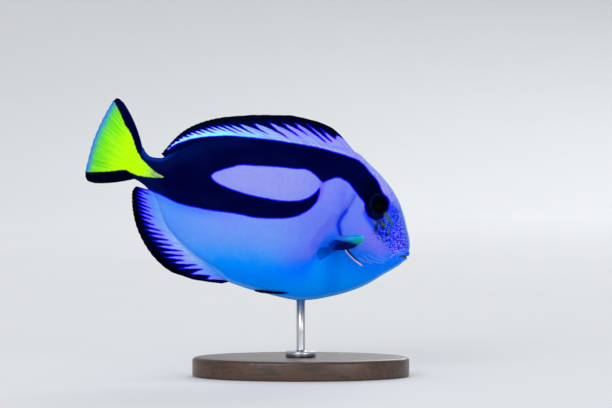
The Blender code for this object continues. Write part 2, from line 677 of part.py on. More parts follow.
def pose_carrier(group):
    """The empty that pitches the fish and sets its belly on the rod's place."""
    contact = Vector((ROD_AT_X, 0, through(BELLY, ROD_AT_X)))
    carrier = bpy.data.objects.new("fish_pose", None)
    group.objects.link(carrier)
    carrier.rotation_euler = (0, PITCH_DOWN, 0)
    turned = carrier.rotation_euler.to_matrix() @ contact
    carrier.location = (Vector((0, 0, BASE_HEIGHT + ROD_LENGTH)) - turned) * MM
    return carrier


def main():
    clear_scene()
    group = bpy.data.collections.new("regal_blue_tang")
    bpy.context.scene.collection.children.link(group)
    carrier = pose_carrier(group)
    pieces = list(make_body().values())
    pieces.append(edge_fin("dorsal_fin", DORSAL_RAYS, BACK, 1, DORSAL_ROWS))
    pieces.append(edge_fin("anal_fin", ANAL_RAYS, BELLY, -1, ANAL_ROWS))
    pieces.append(caudal_fin())
    for side, word in ((1, "left"), (-1, "right")):
        pieces.append(spheroid(f"eye_{word}", *eye_place(side), EYE_RADIUS, EYE_DEPTH, 20, 10))
        pieces.append(pectoral_fin(f"pectoral_fin_{word}", side))
        pieces.append(pelvic_fin(f"pelvic_fin_{word}", side))
        pieces.append(tail_spine(f"tail_spine_{word}", side))
    for piece in pieces:
        settle(piece, group, carrier)
        dress(piece)
    base, rod = stand_base(), stand_rod()
    for piece in (base, rod):
        settle(piece, group)
        dress(piece)
    belly = body_mesh("belly", GAP)
    settle(belly, group, carrier)
    boolean(rod, [belly], "DIFFERENCE")
    keep_largest(rod)


main()
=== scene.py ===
"""The looks of the regal blue tang on its display stand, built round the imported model.

The fish is worked out straight in its own frame, in millimetres: x forward from the mouth,
y to its left, z up. Its points are then curved towards the tail, pitched nose down and
carried to the stand, in metres.
"""

import math

import bpy
import numpy as np
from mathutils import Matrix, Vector


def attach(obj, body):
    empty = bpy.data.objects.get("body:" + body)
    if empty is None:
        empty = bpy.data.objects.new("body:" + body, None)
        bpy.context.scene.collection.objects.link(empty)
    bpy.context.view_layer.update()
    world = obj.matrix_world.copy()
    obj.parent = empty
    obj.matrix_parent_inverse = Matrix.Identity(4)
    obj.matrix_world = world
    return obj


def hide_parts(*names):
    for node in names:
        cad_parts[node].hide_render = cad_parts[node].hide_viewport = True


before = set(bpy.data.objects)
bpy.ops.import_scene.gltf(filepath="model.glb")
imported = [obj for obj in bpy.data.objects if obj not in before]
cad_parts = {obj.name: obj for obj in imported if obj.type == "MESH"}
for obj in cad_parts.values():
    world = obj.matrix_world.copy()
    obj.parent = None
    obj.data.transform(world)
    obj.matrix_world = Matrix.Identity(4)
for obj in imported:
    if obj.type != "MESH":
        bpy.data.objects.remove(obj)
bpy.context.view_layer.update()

MM = 0.001

# Pose and stand, as in the solids
PITCH_DOWN = math.radians(17.8)
BEND_START, BEND_END = -66.0, -150.0
BEND_ANGLE = math.radians(20.0)
BASE_LENGTH, BASE_WIDTH, BASE_HEIGHT, BASE_EDGE = 100.0, 66.0, 9.0, 1.6
ROD_RADIUS, ROD_LENGTH = 2.0, 26.0
FLANGE_RADIUS, FLANGE_HEIGHT, FLANGE_EDGE, ROD_FILLET = 7.0, 2.4, 0.6, 1.0
ROD_AT_X, FOOT_GAP = -40.5, 0.3

# Body lines, close to the solids'
BACK = [
    (-136.0, 7.0), (-131.3, 8.0), (-129.4, 6.3), (-126.5, 5.1), (-122.0, 5.9), (-118.0, 9.4), (-114.0, 13.3),
    (-110.0, 16.8), (-105.0, 20.4), (-100.0, 23.2), (-90.0, 27.2), (-80.0, 29.9), (-70.0, 32.0),
    (-60.0, 33.8), (-50.0, 35.5), (-42.0, 36.4), (-36.5, 35.9), (-30.0, 33.0), (-22.0, 28.8),
    (-16.0, 24.7), (-11.3, 20.3), (-7.3, 15.0), (-3.9, 9.4), (-1.6, 5.4), (-0.4, 2.6), (0.15, -1.0),
]
BELLY = [
    (-136.0, -7.4), (-130.3, -7.2), (-126.5, -8.0), (-122.5, -10.0), (-117.0, -14.8),
    (-113.5, -19.6), (-109.8, -23.8), (-105.0, -27.2), (-98.0, -30.9), (-90.0, -33.8),
    (-82.0, -36.2), (-74.0, -38.9), (-66.0, -39.1), (-58.0, -38.7), (-50.0, -38.2),
    (-43.0, -37.4), (-36.0, -35.0), (-28.0, -30.8), (-20.5, -26.0), (-14.0, -20.6),
    (-8.0, -13.8), (-3.9, -9.3), (-1.7, -6.5), (-0.6, -4.2), (0.15, -1.0),
]
HALF_WIDTH = [
    (-136.0, 2.1), (-130.3, 2.3), (-122.0, 2.8), (-112.0, 3.9), (-100.0, 5.7), (-85.0, 8.0),
    (-70.0, 9.8), (-55.0, 10.8), (-44.0, 11.1), (-36.0, 10.7), (-28.0, 9.7), (-20.0, 8.3),
    (-12.0, 6.5), (-6.0, 4.9), (-2.5, 3.6), (-0.8, 2.5), (-0.1, 1.4), (0.15, 0.0),
]
WIDEST_AT = [
    (-136.0, -0.8), (-122.0, -1.8), (-105.0, -2.0), (-80.0, -1.0), (-50.0, 0.0), (-30.0, 1.0),
    (-18.0, 2.0), (-8.0, 0.5), (0.15, -1.0),
]
ABOVE_POWER, ABOVE_FULLNESS = 1.9, 0.58
BELOW_POWER, BELOW_FULLNESS = 2.3, 0.52
EYE_X, EYE_Z = -20.4, 16.2
BROW_RISE, BROW_SPREAD = 0.9, 6.5

# Skin grid: how far apart its rings are, where it ends on the tail fin, how its levels crowd
SNOUT_X, SHEATH_START, SHEATH_END = 0.15, -129.0, -137.0
RING_STEP = [
    (-137.0, 0.44), (-60.0, 0.48), (-42.0, 0.34), (-36.0, 0.22), (-4.0, 0.19), (-1.5, 0.12),
    (-0.3, 0.05), (0.15, 0.015),
]
LEVELS, LEVEL_CROWDING = 112, 0.5

# Face forms, close to the solids'
GILL_SEAM = [
    (-38.0, 42.0), (-36.0, 33.0), (-33.0, 24.0), (-31.8, 17.0), (-33.0, 11.5), (-34.6, 6.0),
    (-35.2, 3.0), (-33.8, 0.0), (-30.9, -4.2), (-27.9, -7.5), (-25.6, -9.0), (-22.7, -10.5),
    (-20.0, -11.5), (-17.5, -12.4), (-14.6, -15.5), (-12.6, -24.0),
]
GILL_MIDDLE, GILL_HALF, GILL_TOP, GILL_LOW = 0.53, 0.30, 19.5, -14.6
COVER_RISE, COVER_REACH, GILL_DEPTH, GILL_CLIFF, GILL_WIDTH = 0.5, 9.0, 0.7, 0.55, 1.7
MOUTH_CORNER, MOUTH_FRONT = (-3.3, -3.5), (0.4, -2.4)
LIP_RADIUS, LIP_CORNER_SHARE, LIP_SUNK = 1.05, 0.5, 0.45
UPPER_LIP, LOWER_LIP = (-1.3, -2.9), (-3.5, -4.1)
CLEFT_DEPTH, CLEFT_WIDTH = 0.85, 0.24
NOSTRILS, NOSTRIL_DEPTH, NOSTRIL_RIM = [(-14.0, 16.4, 0.7), (-12.2, 15.4, 0.5)], 0.8, 0.16
EYE_GROOVE = [(-15.2, 12.6), (-13.0, 11.2), (-11.0, 9.6)]
GROOVE_DEPTH, GROOVE_WIDTH = 0.3, 0.45
CREASES = [
    ([(-38.0, 4.0), (-40.0, 0.0), (-41.2, -3.5), (-43.0, -9.0), (-42.5, -12.5)], 0.22, 0.9),
    ([(-104.0, -25.6), (-100.9, -27.5), (-93.1, -31.1), (-84.2, -33.9), (-78.0, -35.4)], 0.16, 0.7),
    ([(-125.0, -2.0), (-122.0, -2.0), (-119.0, -2.0), (-116.6, -2.0)], 0.45, 1.0),
]
EYE_RADII, EYE_DEPTH, EYE_SUNK = (5.0, 5.95), 2.5, 1.25
EYE_GROOVE_DEPTH, EYE_RIM_RISE = 0.22, 0.16

# Markings, as lines of the side view
BAND_TOP = [
    (-128.0, 5.0), (-122.0, 7.8), (-119.9, 10.3), (-118.0, 12.9), (-115.2, 15.5), (-111.9, 17.9),
    (-107.5, 20.3), (-104.7, 21.6), (-95.8, 25.0), (-86.9, 27.0), (-75.2, 29.5), (-65.2, 31.1),
    (-55.8, 32.4), (-50.0, 32.8), (-44.0, 33.0), (-36.0, 32.8), (-32.0, 31.4), (-28.0, 28.8),
    (-24.0, 26.4), (-20.3, 22.3), (-17.3, 20.5), (-15.7, 18.6), (-15.2, 16.0),
]
BAND_UNDER_EYE = [(-15.2, 16.0), (-15.8, 12.6), (-17.4, 10.4), (-20.0, 9.4), (-22.7, 9.8)]
BAND_FRONT = [
    (-22.7, 9.8), (-24.3, 11.3), (-25.7, 13.3), (-26.5, 15.2), (-30.0, 17.5), (-34.0, 20.5),
    (-36.2, 21.9), (-40.0, 22.7), (-42.0, 22.5), (-44.0, 21.4), (-46.2, 19.6), (-47.6, 18.5),
]
ISLAND_TOP = [
    (-47.6, 18.5), (-49.0, 19.1), (-50.8, 20.2), (-54.1, 21.4), (-57.4, 21.7), (-61.3, 20.6),
    (-70.2, 18.7), (-80.8, 15.9), (-85.8, 14.5), (-89.7, 12.1), (-95.2, 8.2), (-97.3, 5.6),
]
ISLAND_LOW = [
    (-97.3, 5.6), (-96.3, 4.4), (-94.1, 3.4), (-90.2, 2.6), (-83.0, 2.3), (-75.2, 2.7),
    (-65.2, 4.0), (-59.7, 5.3), (-54.7, 7.2), (-51.9, 9.3), (-50.0, 11.6), (-48.8, 13.8), (-48.2, 15.4),
]
BAND_LOW = [
    (-48.2, 15.4), (-47.7, 13.0), (-47.6, 10.2), (-48.0, 8.2), (-49.7, 5.0), (-51.9, 2.3),
    (-55.2, -0.4), (-60.3, -2.8), (-70.9, -6.0), (-82.0, -7.5), (-93.1, -9.65), (-104.2, -10.9),
    (-109.8, -10.9), (-115.3, -10.1), (-125.3, -9.3),
]
BAND_REAR = [(-125.3, -9.3), (-131.0, -9.5), (-160.0, -28.0), (-160.0, 50.0), (-128.0, 9.0), (-128.0, 5.0)]
WEDGE_TOP = [
    (-118.1, -2.4), (-119.8, -1.5), (-122.5, -0.7), (-125.2, 0.5), (-129.5, 2.6), (-131.4, 4.2),
    (-133.3, 5.6), (-136.4, 9.7), (-139.3, 13.1), (-142.2, 15.2), (-145.8, 19.5), (-149.8, 23.5),
    (-153.0, 26.6),
]
WEDGE_REAR = [(-153.0, 26.6), (-165.0, 30.0), (-165.0, -15.0), (-154.0, -11.0)]
WEDGE_LOW = [
    (-154.0, -11.0), (-152.0, -10.5), (-147.9, -9.1), (-144.1, -7.8), (-140.0, -6.1), (-137.9, -5.1),
    (-135.4, -4.4), (-132.9, -4.7), (-129.1, -4.9), (-122.9, -3.8), (-119.8, -3.0), (-118.1, -2.4),
]
# Above this line: the light strip along the back, and a painted highlight over the forehead
CREST = [
    (-137.0, 4.0), (-128.0, 5.0), (-119.9, 10.3), (-115.2, 15.5), (-111.9, 17.9), (-104.7, 21.6),
    (-95.8, 25.0), (-86.9, 27.0), (-75.2, 29.5), (-65.2, 31.1), (-55.8, 32.4), (-44.0, 33.0),
    (-36.0, 32.8), (-32.0, 31.4), (-28.0, 28.8), (-24.0, 26.4), (-20.3, 22.3), (-17.3, 20.5),
    (-12.7, 18.8), (-10.0, 16.6), (-7.7, 13.0), (-5.3, 9.0), (-2.7, 4.6), (-1.0, 2.3), (0.15, -1.0),
]
AZURE = [
    (-137.0, -27.0), (-120.0, -28.0), (-108.0, -31.0), (-100.0, -33.0), (-90.0, -31.5), (-80.0, -29.0),
    (-70.0, -26.5), (-60.0, -24.4), (-54.0, -23.2), (-50.0, -21.2), (-46.0, -20.0), (-43.0, -18.8),
    (-41.0, -15.0), (-39.6, -9.0), (-38.0, -6.6), (-34.0, -4.6), (-30.0, -5.2), (-26.0, -6.0), (-20.0, -7.2),
    (-12.0, -6.2), (-6.0, -4.9), (0.15, -3.5),
]
FACE = [
    (-18.3, 3.8), (-14.7, 1.7), (-12.0, 0.2), (-9.0, -2.3), (-6.4, -3.9), (-4.2, -3.0), (-2.0, -0.6),
    (-0.9, 2.2), (-2.9, 5.0), (-5.5, 9.3), (-8.0, 13.0), (-10.2, 16.8), (-12.7, 18.6), (-15.3, 19.3),
    (-16.0, 14.0), (-17.5, 9.0),
]
# Soft strokes of paint on the face and flank, some of them painted shade and highlights: a path of the side
# view and its half width
STROKES = {
    "lilac": [([(-22.5, 2.6), (-19.0, 0.6), (-16.0, -1.4), (-12.5, -3.0)], 3.4)],
    # The first violet stroke is painted shade along the crease behind the gill cover
    "violet": [
        ([(-37.4, 5.5), (-39.5, 1.0), (-41.4, -4.0), (-43.0, -9.0), (-42.6, -12.0)], 1.6),
        ([(-36.8, 15.5), (-36.0, 12.5), (-35.6, 9.0)], 1.8),
    ],
    "plum": [([(-47.0, 19.8), (-47.5, 16.8), (-47.2, 13.4), (-47.3, 10.0)], 1.3)],
    # The second blue stroke is painted shade in the gill opening behind the cover's edge
    "blue": [
        ([(-24.6, 11.0), (-22.4, 8.8), (-19.8, 6.8), (-18.2, 5.4)], 1.5),
        ([(-33.4, 9.0), (-34.7, 5.5), (-34.9, 2.5), (-33.4, -0.6)], 1.2),
        ([(-2.6, -0.9), (-1.2, -1.0), (-0.2, -1.4)], 0.7),
    ],
    # Painted shadow under the pectoral fin's root, and painted shade in the mouth's cleft
    "dark": [
        ([(-34.6, -7.6), (-31.6, -6.8), (-28.6, -5.8), (-25.8, -4.7)], 1.7),
        ([(-3.4, -3.6), (-2.2, -2.7), (-0.9, -2.3)], 0.28),
    ],
    "blotch": [
        ([(-19.6, 10.0), (-18.0, 9.1), (-16.0, 8.6)], 1.55),
        ([(-18.2, 7.0), (-17.4, 4.9)], 0.95),
        ([(-15.6, 8.2), (-14.9, 6.8)], 0.75),
        ([(-12.6, 4.6), (-12.0, 3.8)], 0.5),
    ],
    # Painted shadow that the pectoral fin casts on the flank behind and below it
    "shade": [
        ([(-40.2, -10.0), (-37.6, -8.4), (-34.6, -7.6)], 2.3),
        ([(-34.0, -9.5), (-32.2, -15.6), (-30.3, -21.3), (-29.6, -24.5)], 3.8),
    ],
    "olive": [
        ([(-16.1, 13.4), (-14.6, 12.5), (-13.6, 11.5)], 0.85),
        ([(-13.6, 11.5), (-12.3, 10.6), (-11.4, 9.5)], 0.62),
        ([(-16.0, 8.9), (-15.2, 8.2)], 0.5),
        ([(-14.4, 9.2), (-13.9, 7.6)], 0.5),
        ([(-12.2, 7.0), (-12.1, 5.8)], 0.5),
        ([(-1.7, -3.1), (-0.7, -2.7)], 0.5),
    ],
    # Painted highlights on the folds round the mouth and on the ripples of the throat
    "pale": [
        ([(-7.6, -5.3), (-6.2, -3.2), (-4.4, -1.1), (-2.6, 0.2)], 0.28),
        ([(-5.2, -3.0), (-3.6, -1.6), (-1.6, -0.9)], 0.22),
        ([(-21.8, -9.4), (-18.4, -10.3), (-15.0, -10.2)], 0.2),
        ([(-19.6, -8.0), (-16.0, -9.2), (-12.5, -9.1), (-9.6, -8.2)], 0.22),
        ([(-17.8, -6.6), (-14.6, -7.7), (-11.5, -7.7), (-9.0, -7.0)], 0.2),
        ([(-13.6, -5.6), (-11.0, -6.3), (-8.6, -6.2)], 0.18),
    ],
}

# Fins, close to the solids'
DORSAL_RAYS = [  # ray number, root x, tip x, tip z
    (0, -34.8, -46.5, 41.4), (0.5, -37.6, -52.3, 43.6), (1, -40.5, -58.0, 44.0), (2, -44.8, -64.5, 43.7),
    (3, -48.5, -70.7, 43.0), (4, -55.0, -76.3, 41.35), (5, -61.3, -81.9, 39.7), (6, -69.5, -88.2, 37.6),
    (7, -76.6, -95.0, 34.9), (8, -83.4, -100.0, 32.8), (10, -90.6, -105.3, 29.9), (12, -96.0, -109.4, 27.1),
    (14, -101.3, -112.9, 24.1), (16, -105.7, -115.7, 21.0), (18, -109.1, -117.8, 17.8),
    (20, -112.4, -119.6, 14.2), (22, -116.4, -121.4, 9.9), (23, -119.6, -122.3, 7.8),
]
ANAL_RAYS = [
    (0, -72.8, -77.5, -40.5), (0.3, -76.4, -84.5, -41.9), (1, -80.0, -91.5, -42.8), (2, -84.3, -100.0, -42.7),
    (3, -87.9, -105.0, -41.5), (4, -91.3, -109.0, -39.7), (5, -94.7, -112.0, -38.0),
    (6, -97.9, -114.8, -36.0), (8, -103.9, -119.2, -32.1), (10, -108.0, -123.2, -27.4),
    (12, -111.4, -126.0, -22.9), (14, -113.9, -127.8, -19.2), (16, -116.2, -129.0, -15.9),
    (18, -118.6, -129.8, -12.8), (20, -121.2, -129.0, -10.0),
]
CAUDAL_RAYS = [  # root z, tip x, tip z, bow, sweep left; from bottom to top
    (-7.0, -150.2, -15.1, -0.9, 6.0), (-6.8, -152.8, -15.2, -0.7, 5.6), (-6.4, -154.7, -13.7, -0.4, 5.0),
    (-5.5, -155.3, -10.6, -0.1, 4.0), (-4.2, -155.1, -5.2, 0.0, 2.7), (-2.4, -154.9, 0.3, 0.0, 1.5),
    (-0.6, -154.4, 5.5, 0.0, 0.5), (1.2, -153.7, 10.8, 0.3, 0.0), (3.0, -152.8, 16.0, 0.65, -0.3),
    (4.3, -151.7, 20.8, 1.0, -0.6), (5.0, -150.7, 24.3, 1.15, -0.8), (5.4, -149.0, 26.0, 1.25, -0.9),
    (5.7, -146.0, 25.0, 1.3, -1.0),
]
PECTORAL_RAYS = [  # root x, root z, tip x, tip z, reach out
    (-33.4, -3.0, -25.2, 1.5, 20.0), (-33.5, -3.7, -22.4, 1.5, 23.0), (-33.6, -4.5, -22.5, -0.5, 25.0),
    (-33.6, -5.3, -24.2, -2.9, 25.6), (-33.6, -6.1, -27.2, -5.8, 25.0), (-33.5, -6.9, -33.0, -8.4, 22.5),
    (-33.3, -7.8, -39.2, -9.4, 18.0), (-33.0, -8.7, -40.6, -12.6, 13.0), (-32.7, -9.5, -38.4, -15.8, 8.0),
]
PELVIC_RAYS = [
    (-46.4, -34.6, -59.5, -37.6), (-46.9, -35.0, -62.4, -38.7), (-47.6, -35.5, -61.6, -39.2),
    (-48.4, -36.1, -58.6, -39.0),
]
CAUDAL_COUNT, PECTORAL_COUNT, PELVIC_COUNT = 18, 15, 4
MEMBRANE, RAY_RIDGE, RIDGE_FADE, RIDGE_WIDTH = 0.42, 0.40, 0.55, 0.17
FORK_START, FORK_SPREAD, NOTCH = 0.45, 0.13, 0.22
FIN_ROOT_X, FLESH_REACH, ROOT_REACH, PECTORAL_REACH, PECTORAL_CURL = -130.45, 7.0, 0.33, 0.36, 1.2
EDGE_ROOT_HALF, CAUDAL_ROOT_HALF, PECTORAL_ROOT_HALF, PELVIC_HALF, PELVIC_CLEAR = 0.95, 0.3, 1.2, 0.4, 0.55
ROOT_SUNK = 1.3

# Where the light part of each fin ends and the black margin starts, and the dark spikes that run in from it
DORSAL_LIGHT = [
    (-120.3, 11.0), (-118.6, 14.2), (-116.9, 16.6), (-114.9, 18.8), (-111.3, 22.2), (-107.4, 24.9),
    (-103.6, 27.2), (-98.0, 29.9), (-91.3, 32.4), (-85.8, 34.4), (-81.6, 36.2), (-75.8, 38.0),
    (-69.1, 39.8), (-64.1, 41.1), (-56.4, 41.2), (-50.0, 40.9), (-46.5, 40.7), (-43.0, 41.2), (-41.0, 41.2),
]
DORSAL_LIGHT_FOOT = [
    (-36.0, 39.0), (-34.0, 28.0), (-60.0, 22.0), (-90.0, 16.0), (-119.8, 2.0), (-120.3, 11.0),
]
ANAL_LIGHT = [
    (-126.2, -9.6), (-127.5, -11.6), (-126.7, -14.4), (-125.1, -17.4), (-123.7, -20.2), (-122.0, -23.0),
    (-119.8, -25.5), (-118.1, -28.0), (-113.7, -31.3), (-108.4, -35.2), (-105.9, -36.9), (-102.0, -38.3),
    (-98.7, -39.7), (-93.1, -40.6), (-87.6, -40.9), (-82.0, -40.4), (-77.0, -39.4), (-71.0, -38.6),
]
ANAL_LIGHT_FOOT = [(-71.0, -38.6), (-71.0, -30.0), (-95.0, -20.0), (-118.0, -2.0), (-126.2, -9.6)]
DORSAL_SPIKES = [  # x, length, lean
    (-122.0, 0.7, 0.32), (-116.7, 1.1, 0.32), (-107.0, 2.6, 0.32), (-99.0, 3.8, 0.32), (-91.0, 4.9, 0.32),
    (-82.0, 5.9, 0.32), (-76.0, 6.6, 0.32), (-69.5, 7.2, 0.28), (-62.5, 7.4, 0.2), (-56.0, 6.8, 0.1),
    (-50.0, 4.6, 0.03), (-46.0, 1.8, 0.0), (-42.0, 0.6, 0.0),
]
ANAL_SPIKES = [
    (-130.0, 2.7, 0.2), (-125.0, 4.1, 0.2), (-118.0, 5.4, 0.2), (-108.0, 6.6, 0.2), (-100.0, 7.0, 0.2),
    (-92.0, 5.6, 0.17), (-85.0, 3.4, 0.14), (-76.0, 1.1, 0.1),
]

# The folded tail spine
SPINE_ROOT_X, SPINE_TIP_X, SPINE_Z, SPINE_RADIUS = -123.2, -117.4, -2.0, 0.85

# Camera
VIEW_CENTRE, VIEW_DISTANCE, VIEW_WIDTH, VIEW_RISE = (2.4, 0.0, 79.4), 1800.0, 281.5, math.radians(2.0)
SENSOR = 36.0


def smooth(t):
    t = np.clip(t, 0.0, 1.0)
    return t * t * (3 - 2 * t)


def through(table, at):
    """A smooth curve through a table of (place, value) rows, read at many places."""
    places, values = np.array(table, float).T
    at = np.clip(at, places[0], places[-1])
    steps = np.diff(values) / np.diff(places)
    before, after = steps[:-1], steps[1:]
    alike = before * after > 0
    inner = np.where(alike, 2 * before * after / np.where(alike, before + after, 1.0), 0.0)
    slopes = np.concatenate([steps[:1], inner, steps[-1:]])
    i = np.clip(np.searchsorted(places, at) - 1, 0, len(places) - 2)
    span = places[i + 1] - places[i]
    t = (at - places[i]) / span
    bulge = span * (slopes[i] * t * (1 - t) ** 2 - slopes[i + 1] * t * t * (1 - t))
    return values[i] + (values[i + 1] - values[i]) * smooth(t) + bulge


def smooth_path(points, count):
    """Points at even steps along a smooth curve through a few points."""
    points = np.array(points, float)
    knots = np.concatenate([[0.0], np.cumsum(np.linalg.norm(np.diff(points, axis=0), axis=1))])
    at = np.linspace(0.0, knots[-1], count)
    return np.stack([through(list(zip(knots, axis)), at) for axis in points.T], axis=1)


def rounded(points, steps=6):
    """A line through a few points of the side view with its corners rounded."""
    points = np.array(points, float)
    padded = np.vstack([2 * points[0] - points[1], points, 2 * points[-1] - points[-2]])
    t = np.linspace(0.0, 1.0, steps, endpoint=False)[:, None]
    rows = []
    for a, b, c, d in zip(padded, padded[1:], padded[2:], padded[3:]):
        bent = (c - a) * t + (2 * a - 5 * b + 4 * c - d) * t**2 + (3 * b - a - 3 * c + d) * t**3
        rows.append(b + 0.5 * bent)
    return np.vstack(rows)


def inside_by(x, z, outline):
    """How far inside a closed outline of the side view each place is, negative outside it."""
    shape = x.shape
    x, z = x.ravel(), z.ravel()
    nearest, inside = np.full(len(x), 1e9), np.zeros(len(x), bool)
    for (ax, az), (bx, bz) in zip(outline, np.roll(outline, -1, axis=0)):
        dx, dz = bx - ax, bz - az
        if dx == 0 and dz == 0:
            continue
        share = np.clip(((x - ax) * dx + (z - az) * dz) / (dx * dx + dz * dz), 0, 1)
        nearest = np.minimum(nearest, (x - ax - share * dx) ** 2 + (z - az - share * dz) ** 2)
        if dz != 0:
            inside ^= ((az > z) != (bz > z)) & (x < ax + (z - az) * dx / dz)
    distance = np.sqrt(nearest)
    return np.where(inside, distance, -distance).reshape(shape)


def from_path(x, z, path):
    """Distance of each place from a path of the side view, and the share along it of the nearest point."""
    shape = x.shape
    x, z = x.ravel(), z.ravel()
    nearest, share = np.full(len(x), 1e9), np.zeros(len(x))
    for k, (px, pz) in enumerate(path):
        away = (x - px) ** 2 + (z - pz) ** 2
        closer = away < nearest
        nearest = np.where(closer, away, nearest)
        share = np.where(closer, k / (len(path) - 1), share)
    return np.sqrt(nearest).reshape(shape), share.reshape(shape)


def strokes(x, z, painted):
    """How strongly a few soft strokes cover each place, from 0 to 1."""
    cover = np.zeros_like(x)
    for points, width in painted:
        distance, _ = from_path(x, z, smooth_path(points, 40))
        cover = np.maximum(cover, np.exp(-((distance / width) ** 2.5)))
    return cover


def half_width(x, z):
    """How far the skin stands from the middle plane at a place of the side view."""
    top, low, widest = through(BACK, x), through(BELLY, x), through(WIDEST_AT, x)
    above = z > widest
    reach = np.maximum(np.where(above, top - widest, widest - low), 1e-6)
    share = np.minimum(np.abs(z - widest) / reach, 1.0)
    over, under = (1 - share**ABOVE_POWER) ** ABOVE_FULLNESS, (1 - share**BELOW_POWER) ** BELOW_FULLNESS
    near_eye = np.exp(-((x - EYE_X) ** 2 + (z - EYE_Z) ** 2) / (2 * BROW_SPREAD**2))
    return through(HALF_WIDTH, x) * np.where(above, over, under) + BROW_RISE * near_eye * (1 - share**4)


def flank_normal(x, z, side):
    step = 0.4
    along = (half_width(x + step, z) - half_width(x - step, z)) / (2 * step)
    up = (half_width(x, z + step) - half_width(x, z - step)) / (2 * step)
    normal = np.stack([-along, np.full_like(along, side), -up], axis=-1)
    return normal / np.linalg.norm(normal, axis=-1, keepdims=True)


def front_of(z):
    """Where the outline of the snout is at a level near the mouth."""
    xs = np.linspace(-20.0, SNOUT_X, 800)
    back, belly = through(BACK, xs), through(BELLY, xs)
    return np.where(z > back[-1], np.interp(-z, -back, xs), np.interp(z, belly, xs))


def set_in_place(points):
    """Curves the tail, pitches the fish and carries it to the stand: world metres."""
    xs = np.linspace(BEND_START, BEND_END - 10, 200)
    angle = BEND_ANGLE * ((BEND_START - xs) / (BEND_START - BEND_END)) ** 2
    away = np.concatenate([[0.0], np.cumsum(np.tan((angle[1:] + angle[:-1]) / 2) * -np.diff(xs))])
    x, y, z = points.reshape(-1, 3).T
    turn = np.interp(-x, -xs, angle) * (x < BEND_START)
    aside = np.interp(-x, -xs, away) * (x < BEND_START)
    x, y = x + y * np.sin(turn), aside + y * np.cos(turn)
    lean, rise = math.cos(PITCH_DOWN), math.sin(PITCH_DOWN)
    contact_x, contact_z = ROD_AT_X, float(through(BELLY, ROD_AT_X))
    x, z = x - contact_x, z - contact_z
    return np.stack([x * lean + z * rise, y, BASE_HEIGHT + ROD_LENGTH - x * rise + z * lean], axis=1) * MM


def grid_faces(wide, tall, start=0, around=False):
    """Quads of a grid of points, wide rows of tall points, closed round the short way if asked."""
    i, j = np.meshgrid(np.arange(wide - 1), np.arange(tall if around else tall - 1), indexing="ij")
    after = (j + 1) % tall
    quads = np.stack([i * tall + j, (i + 1) * tall + j, (i + 1) * tall + after, i * tall + after], axis=-1)
    return quads.reshape(-1, 4) + start


def faces_out(points, faces):
    """The faces turned to point outwards, judged by the volume that they close."""
    volume = 0.0
    for corners in ((0, 1, 2), (0, 2, 3)):
        a, b, c = (points[faces[:, k]] for k in corners)
        volume += float(np.einsum("ij,ij->i", a, np.cross(b, c)).sum())
    return faces if volume > 0 else faces[:, ::-1]


def make_piece(name, points, faces, fields, finish):
    """A smooth piece from world points, with its fields kept on its points for the shaders."""
    mesh = bpy.data.meshes.new(name)
    rows = [list(dict.fromkeys(row)) for row in faces_out(points, faces).tolist()]
    mesh.from_pydata(points.tolist(), [], rows)
    mesh.polygons.foreach_set("use_smooth", [True] * len(mesh.polygons))
    for label, values in fields.items():
        values = np.asarray(values, np.float32)
        if values.ndim == 1:
            mesh.attributes.new(label, "FLOAT", "POINT").data.foreach_set("value", values)
        else:
            mesh.attributes.new(label, "FLOAT_VECTOR", "POINT").data.foreach_set("vector", values.ravel())
    mesh.materials.append(finish)
    piece = bpy.data.objects.new(name, mesh)
    bpy.context.scene.collection.objects.link(piece)
    return piece


# Skin


def lip_rise(places, levels):
    """How far one lip lifts the skin: a rounded bar that thins out towards the mouth's corners."""
    front_z, corner_z = levels
    share = np.linspace(-1.0, 1.0, 121)
    side, share = np.sign(share), np.abs(share)
    z = front_z + (corner_z - front_z) * share
    radius = LIP_RADIUS * (1 - (1 - LIP_CORNER_SHARE) * share**2)
    height = (radius - LIP_SUNK) * (1 - share**2)
    front = front_of(z)
    x = front + (MOUTH_CORNER[0] - front) * share**2
    path = np.stack([x, side * half_width(x, z), z], axis=1)
    away = np.linalg.norm(places[:, None] - path, axis=2)
    nearest = away.argmin(axis=1)
    return height[nearest] * np.sqrt(smooth(1.25 - away.min(axis=1) / radius[nearest]))


def cleft_depth(places):
    """The line of the mouth between the lips, from one corner round the front to the other."""
    rise = (MOUTH_FRONT[1] - MOUTH_CORNER[1]) / (MOUTH_FRONT[0] - MOUTH_CORNER[0])
    off = (places[:, 2] - MOUTH_CORNER[1] - rise * (places[:, 0] - MOUTH_CORNER[0])) / math.hypot(1, rise)
    inward = smooth((places[:, 0] - MOUTH_CORNER[0] + 0.3) / 1.2)
    return CLEFT_DEPTH * np.exp(-((off / CLEFT_WIDTH) ** 2)) * inward


def gill_fields(x, z):
    """Distance behind the free edge of the gill cover, and how open the gill is there."""
    path = smooth_path(GILL_SEAM, 260)
    distance, share = from_path(x, z, path)
    nearest = np.clip(np.round(share * (len(path) - 1)).astype(int), 1, len(path) - 2)
    along = path[nearest + 1] - path[nearest - 1]
    behind = along[..., 1] * (x - path[nearest, 0]) - along[..., 0] * (z - path[nearest, 1]) > 0
    opened = smooth(3 * (1 - np.abs(share - GILL_MIDDLE) / GILL_HALF))
    opened = opened * smooth((GILL_TOP - z) / 3.0) * smooth((z - GILL_LOW) / 2.5)
    return np.where(behind, distance, -distance), opened


def gill_rise(behind, opened):
    cover = COVER_RISE * (1 - smooth(-behind / COVER_REACH))
    cliff = COVER_RISE - (COVER_RISE + GILL_DEPTH) * smooth(behind / GILL_CLIFF)
    floor = -GILL_DEPTH * (1 - smooth((behind - GILL_CLIFF) / GILL_WIDTH))
    return opened * np.where(behind < 0, cover, np.where(behind < GILL_CLIFF, cliff, floor))


